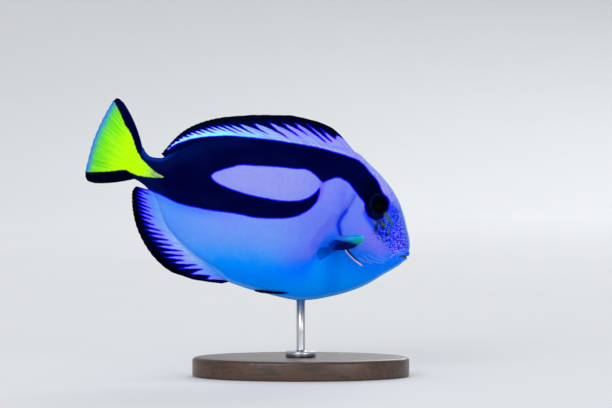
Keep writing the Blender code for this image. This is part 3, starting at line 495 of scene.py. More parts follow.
def eye_axes(side):
    """Where an eye sits: its place on the skin, its normal, and the ways forward and up across it."""
    normal = flank_normal(np.array(EYE_X), np.array(EYE_Z), float(side))
    forward = np.cross([0.0, 0.0, 1.0], normal) * -side
    forward /= np.linalg.norm(forward)
    up = np.cross(forward, normal) * side
    place = np.array([EYE_X, side * float(half_width(np.array(EYE_X), np.array(EYE_Z))), EYE_Z])
    return place, normal, forward, up * np.sign(up[2])


def band_outline():
    lines = (BAND_TOP, BAND_UNDER_EYE, BAND_FRONT, ISLAND_TOP, ISLAND_LOW, BAND_LOW)
    return np.vstack([*[rounded(line) for line in lines], BAND_REAR])


def side_outline():
    xs = np.linspace(SHEATH_END, SNOUT_X, 240)
    ends = SNOUT_X - 12.0 * np.linspace(0.0, 1.0, 60) ** 2
    xs = np.unique(np.concatenate([xs, ends]))
    back, belly = (np.stack([xs, through(line, xs)], axis=1) for line in (BACK, BELLY))
    return np.vstack([back, belly[::-1]])


def dorsal_light():
    return np.vstack([rounded(DORSAL_LIGHT), DORSAL_LIGHT_FOOT])


def anal_light():
    return np.vstack([rounded(ANAL_LIGHT), ANAL_LIGHT_FOOT])


def wedge_outline():
    return np.vstack([rounded(WEDGE_TOP), WEDGE_REAR, rounded(WEDGE_LOW)])


def body_fields(x, y, z):
    """What the shaders read on the skin and the tail fin: places and distances from the markings."""
    return {
        "place": np.stack([x, y, z], axis=-1),
        "ink": inside_by(x, z, band_outline()),
        "wedge": inside_by(x, z, wedge_outline()),
    }


def skin():
    """The whole skin from lips to tail fin as one sheet of rings, its forms raised and sunk in it."""
    stations, x = [], SNOUT_X
    while x > SHEATH_END:
        x -= float(through(RING_STEP, x))
        stations.append(x)
    stations = np.array(stations)[:, None]
    j = np.arange(LEVELS + 1)
    share = LEVEL_CROWDING * np.cos(np.pi * j / LEVELS) + (1 - LEVEL_CROWDING) * (1 - 2 * j / LEVELS)
    share = np.concatenate([share, share[-2:0:-1]])[None, :]
    side = np.concatenate([[0.0], np.ones(LEVELS - 1), [0.0], -np.ones(LEVELS - 1)])[None, :]
    top, low, widest = through(BACK, stations), through(BELLY, stations), through(WIDEST_AT, stations)
    z = widest + share * np.where(share > 0, top - widest, widest - low)
    x = stations + 0 * z
    sheath = 1 - smooth((SHEATH_START - x) / (SHEATH_START - SHEATH_END))
    y = side * half_width(x, z) * sheath
    points = np.stack([x, y, z], axis=-1)
    across = np.roll(points, -1, axis=1) - np.roll(points, 1, axis=1)
    normal = np.cross(np.gradient(points, axis=0), across)
    middle = np.concatenate([stations, 0 * stations, widest], axis=1)[:, None]
    normal *= np.sign(np.sum(normal * (points - middle), axis=-1, keepdims=True))
    normal /= np.maximum(np.linalg.norm(normal, axis=-1, keepdims=True), 1e-9)
    normal[np.abs(y) < 1e-6, 1] = 0.0

    behind, opened = gill_fields(x, z)
    rise = gill_rise(behind, opened)
    for path, depth, width in CREASES:
        distance, _ = from_path(x, z, smooth_path(path, 60))
        rise -= depth * np.exp(-((distance / width) ** 2))
    groove, _ = from_path(x, z, smooth_path(EYE_GROOVE, 30))
    rise -= GROOVE_DEPTH * np.exp(-((groove / GROOVE_WIDTH) ** 2))
    for hole_x, hole_z, radius in NOSTRILS:
        away = np.hypot(x - hole_x, z - hole_z) / radius
        rise += NOSTRIL_RIM * np.exp(-(((away - 1.5) / 0.4) ** 2)) - NOSTRIL_DEPTH * np.exp(-(away**2))
    for eye_side in (1, -1):
        place, _, forward, up = eye_axes(eye_side)
        reach = np.hypot((points - place) @ forward / EYE_RADII[0], (points - place) @ up / EYE_RADII[1])
        rim = EYE_RIM_RISE * np.exp(-(((reach - 1.25) / 0.14) ** 2))
        rise += (rim - EYE_GROOVE_DEPTH * np.exp(-(((reach - 1.03) / 0.08) ** 2))) * (side == eye_side)
    near_mouth = (x > -7.0) & (z > -10.0) & (z < 4.0)
    places = points[near_mouth]
    lips = np.maximum(lip_rise(places, UPPER_LIP), lip_rise(places, LOWER_LIP))
    rise[near_mouth] += lips - cleft_depth(places)
    limit = np.where(side == 0, 0.0, 1.0) + np.where(x > -8.0, 1.0, 0.0)
    points = points + normal * (rise * np.clip(limit, 0, 1))[..., None]

    rings, around = x.shape
    tip = np.array([[SNOUT_X - 0.02, 0.0, float(through(BACK, SNOUT_X))]])
    tail = np.array([[SHEATH_END, 0.0, float(widest[-1, 0])]])
    grid = grid_faces(rings, around, start=1, around=True)
    k = np.arange(around)
    front = np.stack([0 * k, k + 1, (k + 1) % around + 1, 0 * k], axis=1)
    end = 1 + (rings - 1) * around
    rear = np.stack([end + (k + 1) % around, end + k, 0 * k + end + around, end + (k + 1) % around], axis=1)
    flat = np.vstack([tip, points.reshape(-1, 3), tail])
    sx = np.concatenate([tip[:, 0], x.ravel(), tail[:, 0]])
    sz = np.concatenate([tip[:, 2], z.ravel(), tail[:, 2]])
    fields = body_fields(sx, flat[:, 1], sz)
    behind, opened = gill_fields(sx, sz)
    fields |= {
        "azure": sz - through(AZURE, sx),
        "crest": sz - through(CREST, sx),
        "brink": inside_by(sx, sz, side_outline()),
        "hem": sz - through(BELLY, sx),
        "face": inside_by(sx, sz, rounded(FACE + FACE[:1])),
        "behind": behind,
        "opened": opened,
    }
    steps = [ray_at(sx + a, sz + b, DORSAL_RAYS, BACK) for a, b in ((0.2, 0), (-0.2, 0), (0, 0.2), (0, -0.2))]
    spacing = 0.4 / np.maximum(np.hypot(steps[0] - steps[1], steps[2] - steps[3]), 0.05)
    ray = ray_at(sx, sz, DORSAL_RAYS, BACK)
    fields |= streak_fields(sx, sz, ray, spacing, dorsal_light(), DORSAL_SPIKES)
    fields |= {name: strokes(sx, sz, painted) for name, painted in STROKES.items()}
    return set_in_place(flat), np.vstack([front, grid, rear]), fields


# Fins


def numbered(guides, count):
    """Guide rays with even ray numbers put before their values."""
    return [(k * (count - 1) / (len(guides) - 1), *guide) for k, guide in enumerate(guides)]


def spread(guides, per_ray):
    """Fin columns between guide rays: the ray number of each and its values from the guide table."""
    numbers, *values = zip(*guides)
    rays = np.linspace(numbers[0], numbers[-1], round((numbers[-1] - numbers[0]) * per_ray) + 1)
    return rays, [through(list(zip(numbers, column)), rays)[:, None] for column in values]


def ray_at(x, z, guides, line):
    """The ray number that would pass each place if the fin's rays ran on into the body."""
    rays, (root_x, tip_x, tip_z) = spread(guides, 2)
    root_z = through(line, root_x) - ROOT_SUNK
    found, before = np.full(x.shape, float(rays[-1])), None
    for ray, rx, rz, tx, tz in zip(rays, root_x[:, 0], root_z[:, 0], tip_x[:, 0], tip_z[:, 0]):
        off = ((tx - rx) * (z - rz) - (tz - rz) * (x - rx)) / math.hypot(tx - rx, tz - rz)
        if before is None:
            found = np.where(off < 0, ray, found)
        else:
            passed = (before >= 0) & (off < 0)
            share = before / np.where(passed, before - off, 1.0)
            found = np.where(passed, ray - 0.5 + 0.5 * share, found)
        before = off
    return found


def from_ray(rays, r):
    """Distance from the nearest ray as a share of their spacing; soft rays fork towards their tips."""
    off = np.abs(rays - np.round(rays))[:, None]
    return np.abs(off - FORK_SPREAD * smooth((r - FORK_START) / (1 - FORK_START)))


def fin_half(rays, r, root, root_reach=ROOT_REACH):
    """Half the thickness of a fin over its rays and membranes, thinning out at its margin."""
    ridge = RAY_RIDGE * (1 - RIDGE_FADE * r) * np.exp(-((from_ray(rays, r) / RIDGE_WIDTH) ** 2))
    thin = (MEMBRANE + ridge) / 2 * (1 - 0.7 * smooth((r - 0.9) / 0.1))
    return thin + (root - thin) * (1 - smooth(r / root_reach))


def notched(rays, length):
    """How far the margin draws in between two rays, as a share of their length."""
    return 1 - NOTCH * (2 * np.abs(rays - np.round(rays))[:, None]) ** 2 / length


def streak_fields(x, z, ray, spacing, outline, spikes):
    """What a fin's streaks read: leaning ray numbers, millimetres between rays and past the light part."""
    past = -inside_by(x, z, outline)
    length, lean = (through([(row[0], row[column]) for row in spikes], x) for column in (1, 2))
    leaning = ray + lean * np.maximum(-past, 0) / np.maximum(spacing, 1.0)
    return {"ray": leaning, "spacing": spacing, "past": past, "spike": length}


def fin_shell(centres, aside, half):
    """A closed fin: its two faces and the strip round its margin."""
    wide, tall = half.shape
    near, far = centres + aside * half[..., None], centres - aside * half[..., None]
    size = wide * tall
    index = np.arange(size).reshape(wide, tall)
    edge = np.concatenate([index[:, 0], index[-1, 1:], index[-2::-1, -1], index[0, -2:0:-1]])
    after = np.roll(edge, -1)
    strip = np.stack([edge, after, after + size, edge + size], axis=1)
    faces = np.vstack([grid_faces(wide, tall)[:, ::-1], grid_faces(wide, tall, start=size), strip])
    points = np.concatenate([near.reshape(-1, 3), far.reshape(-1, 3)])
    return points, faces


def on_both(values, shape):
    flat = (values + np.zeros(shape)).ravel()
    return np.concatenate([flat, flat])


def edge_fin(guides, line, outward, outline, spikes, rows=48, per_ray=12):
    """A fin standing on the back or the belly, with how far each place is past its light part."""
    rays, (root_x, tip_x, tip_z) = spread(guides, per_ray)
    r = np.linspace(0, 1, rows)[None, :]
    root_z = through(line, root_x) - outward * ROOT_SUNK
    length = np.hypot(tip_x - root_x, tip_z - root_z)
    out = r * notched(rays, length)
    x, z = root_x + (tip_x - root_x) * out, root_z + (tip_z - root_z) * out
    half = fin_half(rays, r, EDGE_ROOT_HALF)
    centres = np.stack([x, 0 * x, z], axis=-1)
    points, faces = fin_shell(centres, np.array([0.0, 1.0, 0.0]), half)
    lie = np.stack([tip_x - root_x, tip_z - root_z], axis=-1) / length[..., None]
    step_x, step_z = np.gradient(x, axis=0) * per_ray, np.gradient(z, axis=0) * per_ray
    spacing = np.abs(step_x * lie[..., 1] - step_z * lie[..., 0])
    streaks = streak_fields(x, z, rays[:, None] + 0 * x, spacing, outline, spikes)
    streaks["band"] = inside_by(x, z, band_outline())
    streaks["from_root"] = outward * (z - through(line, x))
    fields = {name: on_both(values, x.shape) for name, values in streaks.items()} | {"place": points}
    return set_in_place(points), faces, fields


def caudal_fin(rows=90, per_ray=12):
    """The tail fin, its root inside the skin's sheath."""
    rays, (root_z, tip_x, tip_z, bow, sweep) = spread(numbered(CAUDAL_RAYS, CAUDAL_COUNT), per_ray)
    t = np.linspace(-0.12, 1, rows)[None, :]
    r = np.sign(t) * np.abs(t) ** 1.25
    along_x, along_z = tip_x - FIN_ROOT_X, tip_z - root_z
    length = np.hypot(along_x, along_z)
    out = np.where(r > 0, r * notched(rays, length), r)
    bend = 4 * out * (1 - out) * bow * (out > 0)
    x = FIN_ROOT_X + along_x * out + along_z / length * bend
    z = root_z + along_z * out - along_x / length * bend
    flesh = np.maximum(half_width(np.full_like(root_z, FIN_ROOT_X), root_z), CAUDAL_ROOT_HALF) * 0.8
    share = smooth(out * length / FLESH_REACH)
    half = flesh + (fin_half(rays, np.maximum(r, 0), CAUDAL_ROOT_HALF) - flesh) * share
    centres = np.stack([x, sweep * out * np.abs(out), z], axis=-1)
    points, faces = fin_shell(centres, np.array([0.0, 1.0, 0.0]), half)
    painted = body_fields(x, 0 * x, z).items()
    fields = {name: np.concatenate([values.reshape(-1, *values.shape[2:])] * 2) for name, values in painted}
    fields |= {
        "ray": on_both(rays[:, None], x.shape),
        "from_edge": on_both((1 - r) * length, x.shape),
    }
    return set_in_place(points), faces, fields


def pectoral_fin(side, rows=60, per_ray=10):
    """A paired fin held out from the flank, cupped, its last rays drooping."""
    rays, (root_x, root_z, tip_x, tip_z, reach) = spread(numbered(PECTORAL_RAYS, PECTORAL_COUNT), per_ray)
    skin_y = half_width(root_x, root_z)
    out = flank_normal(root_x[:, 0], root_z[:, 0], float(side))
    roots = np.concatenate([root_x, side * skin_y, root_z], axis=1) - out * 0.7
    tips = np.concatenate([tip_x, side * (skin_y + reach), tip_z], axis=1)
    root_way, tip_way = np.gradient(roots, axis=0), np.gradient(tips, axis=0)
    at_root, at_tip = np.cross(out, root_way), np.cross(tips - roots, tip_way)
    at_root /= np.linalg.norm(at_root, axis=1, keepdims=True)
    at_tip /= np.linalg.norm(at_tip, axis=1, keepdims=True)
    r = np.linspace(0, 1, rows)[None, :]
    length = np.linalg.norm(tips - roots, axis=1)[:, None]
    along = (r * notched(rays, length))[..., None]
    twist = smooth(r * 2.5)[..., None]
    normal = at_root[:, None] * (1 - twist) + at_tip[:, None] * twist
    normal /= np.linalg.norm(normal, axis=-1, keepdims=True)
    curl = out[:, None] * PECTORAL_CURL * 4 * along * (1 - along)
    centres = roots[:, None] + (tips - roots)[:, None] * along + curl
    half = fin_half(rays, r, PECTORAL_ROOT_HALF, PECTORAL_REACH)
    points, faces = fin_shell(centres, normal, half)
    fields = {
        "place": points,
        "ray": on_both(rays[:, None], half.shape),
        "out": on_both(r, half.shape),
    }
    return set_in_place(points), faces, fields


def pelvic_fin(side, rows=40, per_ray=10):
    """A pelvic fin folded back against the belly."""
    rays, (root_x, root_z, tip_x, tip_z) = spread(numbered(PELVIC_RAYS, PELVIC_COUNT), per_ray)
    r = np.linspace(0, 1, rows)[None, :]
    x, z = root_x + (tip_x - root_x) * r, root_z + (tip_z - root_z) * r
    flesh = np.where(z > through(BELLY, x), half_width(x, z), 0.0)
    half = fin_half(rays, r, PELVIC_HALF)
    aside = np.maximum(flesh + PELVIC_CLEAR * smooth(r * 4) + half, 1.0)
    centres = np.stack([x, side * aside, z], axis=-1)
    points, faces = fin_shell(centres, np.array([0.0, float(side), 0.0]), half)
    return set_in_place(points), faces, {"place": points, "out": on_both(r, x.shape)}


# Eyes, spines and stand


def eye(side, rings=40, around=72):
    """A domed eye, sunk in its socket, with its own forward and up distances for the shader."""
    place, normal, forward, up = eye_axes(side)
    tilt = np.linspace(0, math.pi, rings)[:, None]
    turn = np.linspace(0, 2 * math.pi, around, endpoint=False)[None, :]
    a, b = EYE_RADII[0] * np.sin(tilt) * np.cos(turn), EYE_RADII[1] * np.sin(tilt) * np.sin(turn)
    c = EYE_DEPTH * np.cos(tilt) + 0 * turn - EYE_SUNK
    points = place + a[..., None] * forward + b[..., None] * up + c[..., None] * normal
    iris = np.stack([a.ravel(), b.ravel(), c.ravel()], axis=1)
    return set_in_place(points), grid_faces(rings, around, around=True), {"iris": iris}


def tail_spine(side, rows=24, around=20):
    """The small folded spine in its groove: a flat blade-like cone with its point forward."""
    t = np.linspace(0, 1, rows)[:, None]
    turn = np.linspace(0, 2 * math.pi, around, endpoint=False)[None, :]
    radius = SPINE_RADIUS * np.sqrt(np.clip(1 - t**1.6, 0, 1)) * smooth(t / 0.08 + 0.15) + 0.02
    x = SPINE_ROOT_X + (SPINE_TIP_X - SPINE_ROOT_X) * t + 0 * turn
    z = SPINE_Z + radius * np.sin(turn)
    stand_out = half_width(x, np.full_like(x, SPINE_Z)) - 0.05
    y = side * (stand_out + 0.45 * radius * (1 + np.cos(turn)) / 2 + 0.12)
    points = np.stack([x, y, z], axis=-1).reshape(-1, 3)
    return set_in_place(points), grid_faces(rows, around, around=True), {"place": points}


def turned(profile, stretch=(1.0, 1.0), around=128):
    """A solid turned from a profile of (radius, height), its rings stretched to an oval."""
    radius, height = np.array(profile, float).T[:, :, None]
    turn = np.linspace(0, 2 * math.pi, around, endpoint=False)[None, :]
    across, along = radius * np.cos(turn) * stretch[0], radius * np.sin(turn) * stretch[1]
    points = np.stack([across, along, height + 0 * turn], axis=-1).reshape(-1, 3)
    return points * MM, grid_faces(len(profile), around, around=True), {"place": points}


def corner(radius, height, size, start, steps=6):
    """A rounded corner of a profile: points on a quarter circle from a starting angle."""
    angles = np.radians(np.linspace(start, start - 90, steps))
    return [(radius + size * math.cos(a), height + size * math.sin(a)) for a in angles]


def stand_base():
    """The base with its rounded edges, turned and then stretched lengthways to an oval."""
    profile = [(1e-3, BASE_HEIGHT), (12.0, BASE_HEIGHT), (24.0, BASE_HEIGHT)]
    rim = BASE_WIDTH / 2
    profile += corner(rim - BASE_EDGE, BASE_HEIGHT - BASE_EDGE, BASE_EDGE, 90)
    profile += corner(rim - BASE_EDGE * 0.6, BASE_EDGE * 0.6, BASE_EDGE * 0.6, 0)
    profile += [(24.0, 0.0), (12.0, 0.0), (1e-3, 0.0)]
    return turned(profile, stretch=(BASE_LENGTH / BASE_WIDTH, 1.0), around=160)


def stand_rod():
    """The rod with its turned flange, from just above the base into the belly."""
    foot, top = BASE_HEIGHT, BASE_HEIGHT + ROD_LENGTH + 1.6
    rim = foot + FOOT_GAP + FLANGE_HEIGHT
    profile = [(1e-3, top), (ROD_RADIUS, top)]
    profile += [(ROD_RADIUS, rim + ROD_FILLET + 8.0), (ROD_RADIUS, rim + ROD_FILLET)]
    profile += [(ROD_RADIUS + ROD_FILLET * (1 - math.cos(a)), rim + ROD_FILLET * (1 - math.sin(a)))
                for a in np.radians([15, 30, 45, 60, 75, 90])]
    profile += corner(FLANGE_RADIUS - FLANGE_EDGE, rim - FLANGE_EDGE, FLANGE_EDGE, 90)
    profile += [(FLANGE_RADIUS, foot + FOOT_GAP), (FLANGE_RADIUS - 0.3, foot), (1e-3, foot)]
    return turned(profile, around=96)


# Shader building


class Wire:
    """A value in a shader: plain arithmetic on it makes Math nodes in its own node tree."""

    def __init__(self, socket):
        self.socket = socket

    def __add__(self, other):
        return reckon("ADD", self, other)

    def __sub__(self, other):
        return reckon("SUBTRACT", self, other)

    def __rsub__(self, other):
        return reckon("SUBTRACT", other, self)

    def __mul__(self, other):
        return reckon("MULTIPLY", self, other)

    def __truediv__(self, other):
        return reckon("DIVIDE", self, other)


def colour(red, green, blue):
    """A colour as a screen shows it, made linear for the shaders."""
    shares = [c / 255 for c in (red, green, blue)]
    return (*[c / 12.92 if c <= 10 / 255 else ((c + 0.055) / 1.055) ** 2.4 for c in shares], 1.0)


def plug(socket, value):
    """Gives a socket a wire or a plain value, which for a colour is its red, green and blue on a screen."""
    if isinstance(value, Wire):
        socket.id_data.links.new(value.socket, socket)
    else:
        socket.default_value = colour(*value) if socket.type == "RGBA" else value


def new_node(kind, inputs, **settings):
    """A new node in the tree of the first wire among its inputs."""
    tree = next(value.socket.id_data for value in inputs.values() if isinstance(value, Wire))
    made = tree.nodes.new(kind)
    for name, value in settings.items():
        setattr(made, name, value)
    for name, value in inputs.items():
        plug(made.inputs[name], value)
    return made


def from_node(kind, inputs, output=0, **settings):
    return Wire(new_node(kind, inputs, **settings).outputs[output])


def reckon(operation, *values, clamp=False):
    return from_node("ShaderNodeMath", dict(enumerate(values)), operation=operation, use_clamp=clamp)


def on_places(operation, *places, output=0):
    return from_node("ShaderNodeVectorMath", dict(enumerate(places)), output, operation=operation)


def mix(share, first, second, way="MIX"):
    return from_node("ShaderNodeMix", {0: share, 6: first, 7: second}, 2, data_type="RGBA", blend_type=way)


def coat(ground, share, paint):
    """A paint laid thinly or fully over a ground."""
    return mix(share, ground, paint)


def fade(value, low, high):
    """0 up to the low value, 1 from the high value, smooth between; the other way round if low is higher."""
    ends = {"Value": value, "From Min": low, "From Max": high}
    return from_node("ShaderNodeMapRange", ends, interpolation_type="SMOOTHSTEP")


def between(value, start, full, last, end):
    """1 from the full value to the last one, fading out to the start and to the end."""
    return fade(value, start, full) * fade(value, end, last)


def ramp(value, stops):
    """Colours along a value, as (value, colour) stops."""
    low, high = stops[0][0], stops[-1][0]
    share = from_node("ShaderNodeMapRange", {"Value": value, "From Min": low, "From Max": high})
    made = new_node("ShaderNodeValToRGB", {"Fac": share})
    elements = made.color_ramp.elements
    while len(elements) < len(stops):
        elements.new(0.5)
    for element, (at, shade) in zip(elements, stops):
        element.position = (at - low) / (high - low)
        element.color = colour(*shade)
    return Wire(made.outputs[0])


def noise(place, scale, detail=3.0, roughness=0.55):
    inputs = {"Vector": place, "Scale": scale, "Detail": detail, "Roughness": roughness}
    return from_node("ShaderNodeTexNoise", inputs)


def stretched(place, scale, turn=(0.0, 0.0, 0.0)):
    return from_node("ShaderNodeMapping", {"Vector": place, "Scale": scale, "Rotation": turn})


def flat_place(across, along):
    return from_node("ShaderNodeCombineXYZ", {"X": across, "Y": along})


def part_of(place, axis):
    return from_node("ShaderNodeSeparateXYZ", {"Vector": place}, axis)


def bump(height, distance, strength):
    return from_node("ShaderNodeBump", {"Height": height, "Distance": distance, "Strength": strength})


def begin_group(name, takes, gives):
    """A new node group with named sockets: itself, the wires it takes and the sockets it gives."""
    group = bpy.data.node_groups.new(name, "ShaderNodeTree")
    for label, kind, start in takes:
        socket = group.interface.new_socket(label, in_out="INPUT", socket_type=f"NodeSocket{kind}")
        if start is not None:
            socket.default_value = start
    for label, kind in gives:
        group.interface.new_socket(label, in_out="OUTPUT", socket_type=f"NodeSocket{kind}")
    taken = group.nodes.new("NodeGroupInput").outputs
    given = group.nodes.new("NodeGroupOutput").inputs
    return group, {label: Wire(taken[label]) for label, *_ in takes}, given


def use(group, **inputs):
    """A node group set among the wires that it takes, and the wires that it gives by name."""
    named = {name.replace("_", " ").title(): value for name, value in inputs.items()}
    made = new_node("ShaderNodeGroup", named, node_tree=group)
    return {socket.name: Wire(socket) for socket in made.outputs}


def begin_finish(name, **values):
    """A new material with plain values on its Principled shader: itself, its reader of fields, its inputs."""
    finish = bpy.data.materials.new(name)
    finish.use_nodes = True
    nodes = finish.node_tree.nodes
    shader = nodes["Principled BSDF"].inputs
    for label, value in values.items():
        shader[label.replace("_", " ").title().replace("Ior", "IOR")].default_value = value

    def field(label, output="Fac"):
        made = nodes.new("ShaderNodeAttribute")
        made.attribute_name = label
        return Wire(made.outputs[output])

    return finish, field, shader


# Effects that more than one finish uses


def make_fine_scales():
    """Small overlapping scales: a height for a Bump node and a shade that changes from scale to scale."""
    group, takes, gives = begin_group(
        "fine_scales", [("Place", "Vector", None), ("Fineness", "Float", 1.7)],
        [("Height", "Float"), ("Shade", "Float")])
    leaning = stretched(takes["Place"], (0.85, 1.0, 1.2), (0.0, 0.35, 0.0))
    cells = new_node("ShaderNodeTexVoronoi", {"Vector": leaning, "Scale": takes["Fineness"]}).outputs
    plug(gives["Height"], reckon("SUBTRACT", 1.0, Wire(cells["Distance"]), clamp=True))
    plug(gives["Shade"], part_of(Wire(cells["Color"]), "X") * 0.35 + noise(takes["Place"], 0.9, 4.0) * 0.65)
    return group


def make_ink():
    """Navy-black marking over a ground colour, with a thin pure blue rim where it ends, and a painted
    highlight of clearer blue where Sheen is given.
    """
    group, takes, gives = begin_group(
        "ink_marking",
        [("Ground", "Color", colour(130, 150, 240)), ("Black", "Color", colour(0, 0, 50)),
         ("Ink", "Float", 0.0), ("Place", "Vector", None), ("Sheen", "Float", 0.0), ("Rim", "Float", -0.75)],
        [("Color", "Color")])
    place = takes["Place"]
    edge = takes["Ink"] + noise(place, 0.4, 2.0) * 0.5 - 0.25
    cloud = fade(noise(stretched(place, (0.05, 0.05, 0.11)), 1.0), 0.35, 0.75)
    # Sheen is painted highlight: a clearer blue mixed into the black
    ink = coat(takes["Black"], cloud * 0.05 + takes["Sheen"], (0, 52, 156))
    rim = coat(takes["Ground"], fade(edge, takes["Rim"], -0.18), (16, 10, 236))
    plug(gives["Color"], coat(rim, fade(edge, -0.02, 0.38), ink))
    return group


def make_ray_streaks():
    """Black spikes that run in from a fin's dark margin along its rays, as a depth of ink in millimetres."""
    group, takes, gives = begin_group(
        "ray_streaks",
        [("Ray", "Float", 0.0), ("Past", "Float", 0.0), ("Spike", "Float", 6.0), ("Spacing", "Float", 4.0),
         ("Place", "Vector", None), ("Taper", "Float", 2.0)],
        [("Ink", "Float"), ("Light", "Float"), ("Flush", "Float"), ("Thread", "Float")])
    past, spacing = takes["Past"], takes["Spacing"]
    ray = takes["Ray"] + noise(takes["Place"], 0.3, 2.0) * 0.2 - 0.1
    nearest = reckon("ROUND", ray)
    luck = from_node("ShaderNodeTexWhiteNoise", {"W": nearest}, "Value", noise_dimensions="1D")
    away = reckon("ABSOLUTE", ray - nearest) * spacing
    length = takes["Spike"] * (luck * 0.45 + 0.78)
    depth = reckon("ADD", past / length, 1.0, clamp=True)
    half = reckon("POWER", depth, takes["Taper"]) * spacing * 0.52
    thinned = fade(depth, 0.02, 0.3) * -0.54 + 0.6
    lateral = half - away - thinned
    plug(gives["Ink"], reckon("MAXIMUM", lateral, past))
    plug(gives["Light"], 0.0 - lateral)
    plug(gives["Flush"], fade(lateral, -1.15, -0.4) * between(depth, 0.0, 0.12, 0.36, 0.72))
    plug(gives["Thread"], fade(noise(flat_place(ray * 4.2, past * 0.08), 1.0, 2.0, 0.6), 0.44, 0.58))
    return group


def make_wedge():
    """The yellow wedge of the tail over what is under it, green then pale blue towards the fin's edge."""
    group, takes, gives = begin_group(
        "yellow_wedge",
        [("Under", "Color", colour(1, 1, 42)), ("Wedge", "Float", -1.0), ("Place", "Vector", None),
         ("From Edge", "Float", 30.0), ("Ray", "Float", 0.0)],
        [("Color", "Color")])
    place = takes["Place"]
    uneven = noise(place, 0.3) * 1.6 - 0.8
    from_edge = takes["From Edge"] + uneven
    body = ramp(from_edge, [
        (0.2, (40, 122, 226)), (0.9, (52, 150, 218)), (2.0, (84, 188, 150)), (3.4, (96, 218, 70)),
        (5.6, (112, 234, 32)), (9.0, (140, 243, 22)), (12.5, (172, 250, 8)), (17.5, (186, 253, 2))])
    streak = noise(flat_place(takes["Ray"] * 3.8, takes["From Edge"] * 0.05), 1.0, 4.0, 0.7)
    body = coat(body, fade(streak, 0.5, 0.66) * fade(from_edge, 1.5, 4.5) * 0.5, (196, 255, 58))
    body = coat(body, fade(streak, 0.48, 0.36) * fade(from_edge, 16.0, 8.0) * 0.6, (76, 196, 26))
    body = coat(body, fade(part_of(place, "X") + uneven, -128.0, -119.5) * 0.75, (118, 176, 112))
    edge = noise(place, 0.8) * 0.7 + takes["Wedge"] - 0.35
    plug(gives["Color"], coat(takes["Under"], fade(edge, -0.25, 0.3), body))
    return group


# Finishes


def flank_paint(field, place, x, z):
    """Periwinkle above and azure below, darker towards the head and clearer blue towards the tail, with
    strokes of colour and of painted shade.
    """
    azure = field("azure") + noise(place, 0.16, 4.0) * 7.0 - 3.5
    flank = ramp(azure, [
        (-13.0, (0, 128, 240)), (-6.0, (0, 126, 250)), (-1.5, (4, 138, 250)), (3.0, (54, 146, 246)),
        (8.0, (90, 149, 242)), (14.0, (109, 151, 241)), (24.0, (122, 145, 239)), (36.0, (146, 153, 234))])
    fore = ramp(azure, [
        (-13.0, (0, 136, 250)), (-6.0, (0, 120, 254)), (-2.0, (0, 112, 255)), (1.2, (28, 112, 255)),
        (4.0, (82, 116, 244)), (12.0, (102, 126, 241)), (26.0, (110, 127, 239)), (36.0, (122, 136, 238))])
    ground = coat(flank, fade(x, -64.0, -43.0), fore)
    ground = coat(ground, fade(x, -84.0, -110.0) * fade(azure, 32.0, 22.0) * 0.62, (66, 146, 246))
    glow = fade(field("ink"), -5.5, -0.8) * fade(x, -72.0, -100.0) * fade(z, 2.0, -4.0)
    ground = coat(ground, glow * 0.5, (22, 104, 246))
    soft = fade(noise(place, 0.11, 3.0), 0.42, 0.72) * fade(azure, -3.0, 5.0)
    ground = coat(ground, soft * 0.16, (110, 104, 244))
    # The shade stroke, the first violet stroke and the second blue stroke are painted shade
    for stroke, strength, paint in (
            ("lilac", 0.6, (130, 114, 243)), ("violet", 0.45, (86, 84, 236)), ("plum", 0.7, (110, 76, 240)),
            ("shade", 0.32, (0, 74, 226)), ("blue", 0.95, (2, 66, 238))):
        ground = coat(ground, field(stroke) * strength, paint)
    return ground


def hem_paint(field, ground, x):
    """The belly's edge: a dark crease of painted shade and a pale rim of painted highlight along the anal
    fin, a faint painted highlight before it.
    """
    hem = field("hem")
    by_fin = between(x, -124.0, -115.0, -91.0, -84.0)
    # Painted shade in a crease above the belly's edge
    ground = coat(ground, between(hem, 1.0, 1.6, 1.7, 2.3) * by_fin * 0.4, (60, 104, 226))
    # Painted highlight on the rim below that crease
    ground = coat(ground, fade(hem, 1.4, 0.8) * by_fin * 0.85, (142, 184, 240))
    strand = fade(noise(flat_place(hem * 1.7, x * 0.08), 1.0, 2.0), 0.47, 0.57)
    ground = coat(ground, strand * fade(hem, 5.0, 2.0) * by_fin * 0.3, (52, 118, 234))
    # Painted highlight along the belly's edge before the anal fin
    return coat(ground, fade(hem, 2.4, 0.4) * fade(x, -90.0, -80.0) * 0.62, (110, 186, 255))


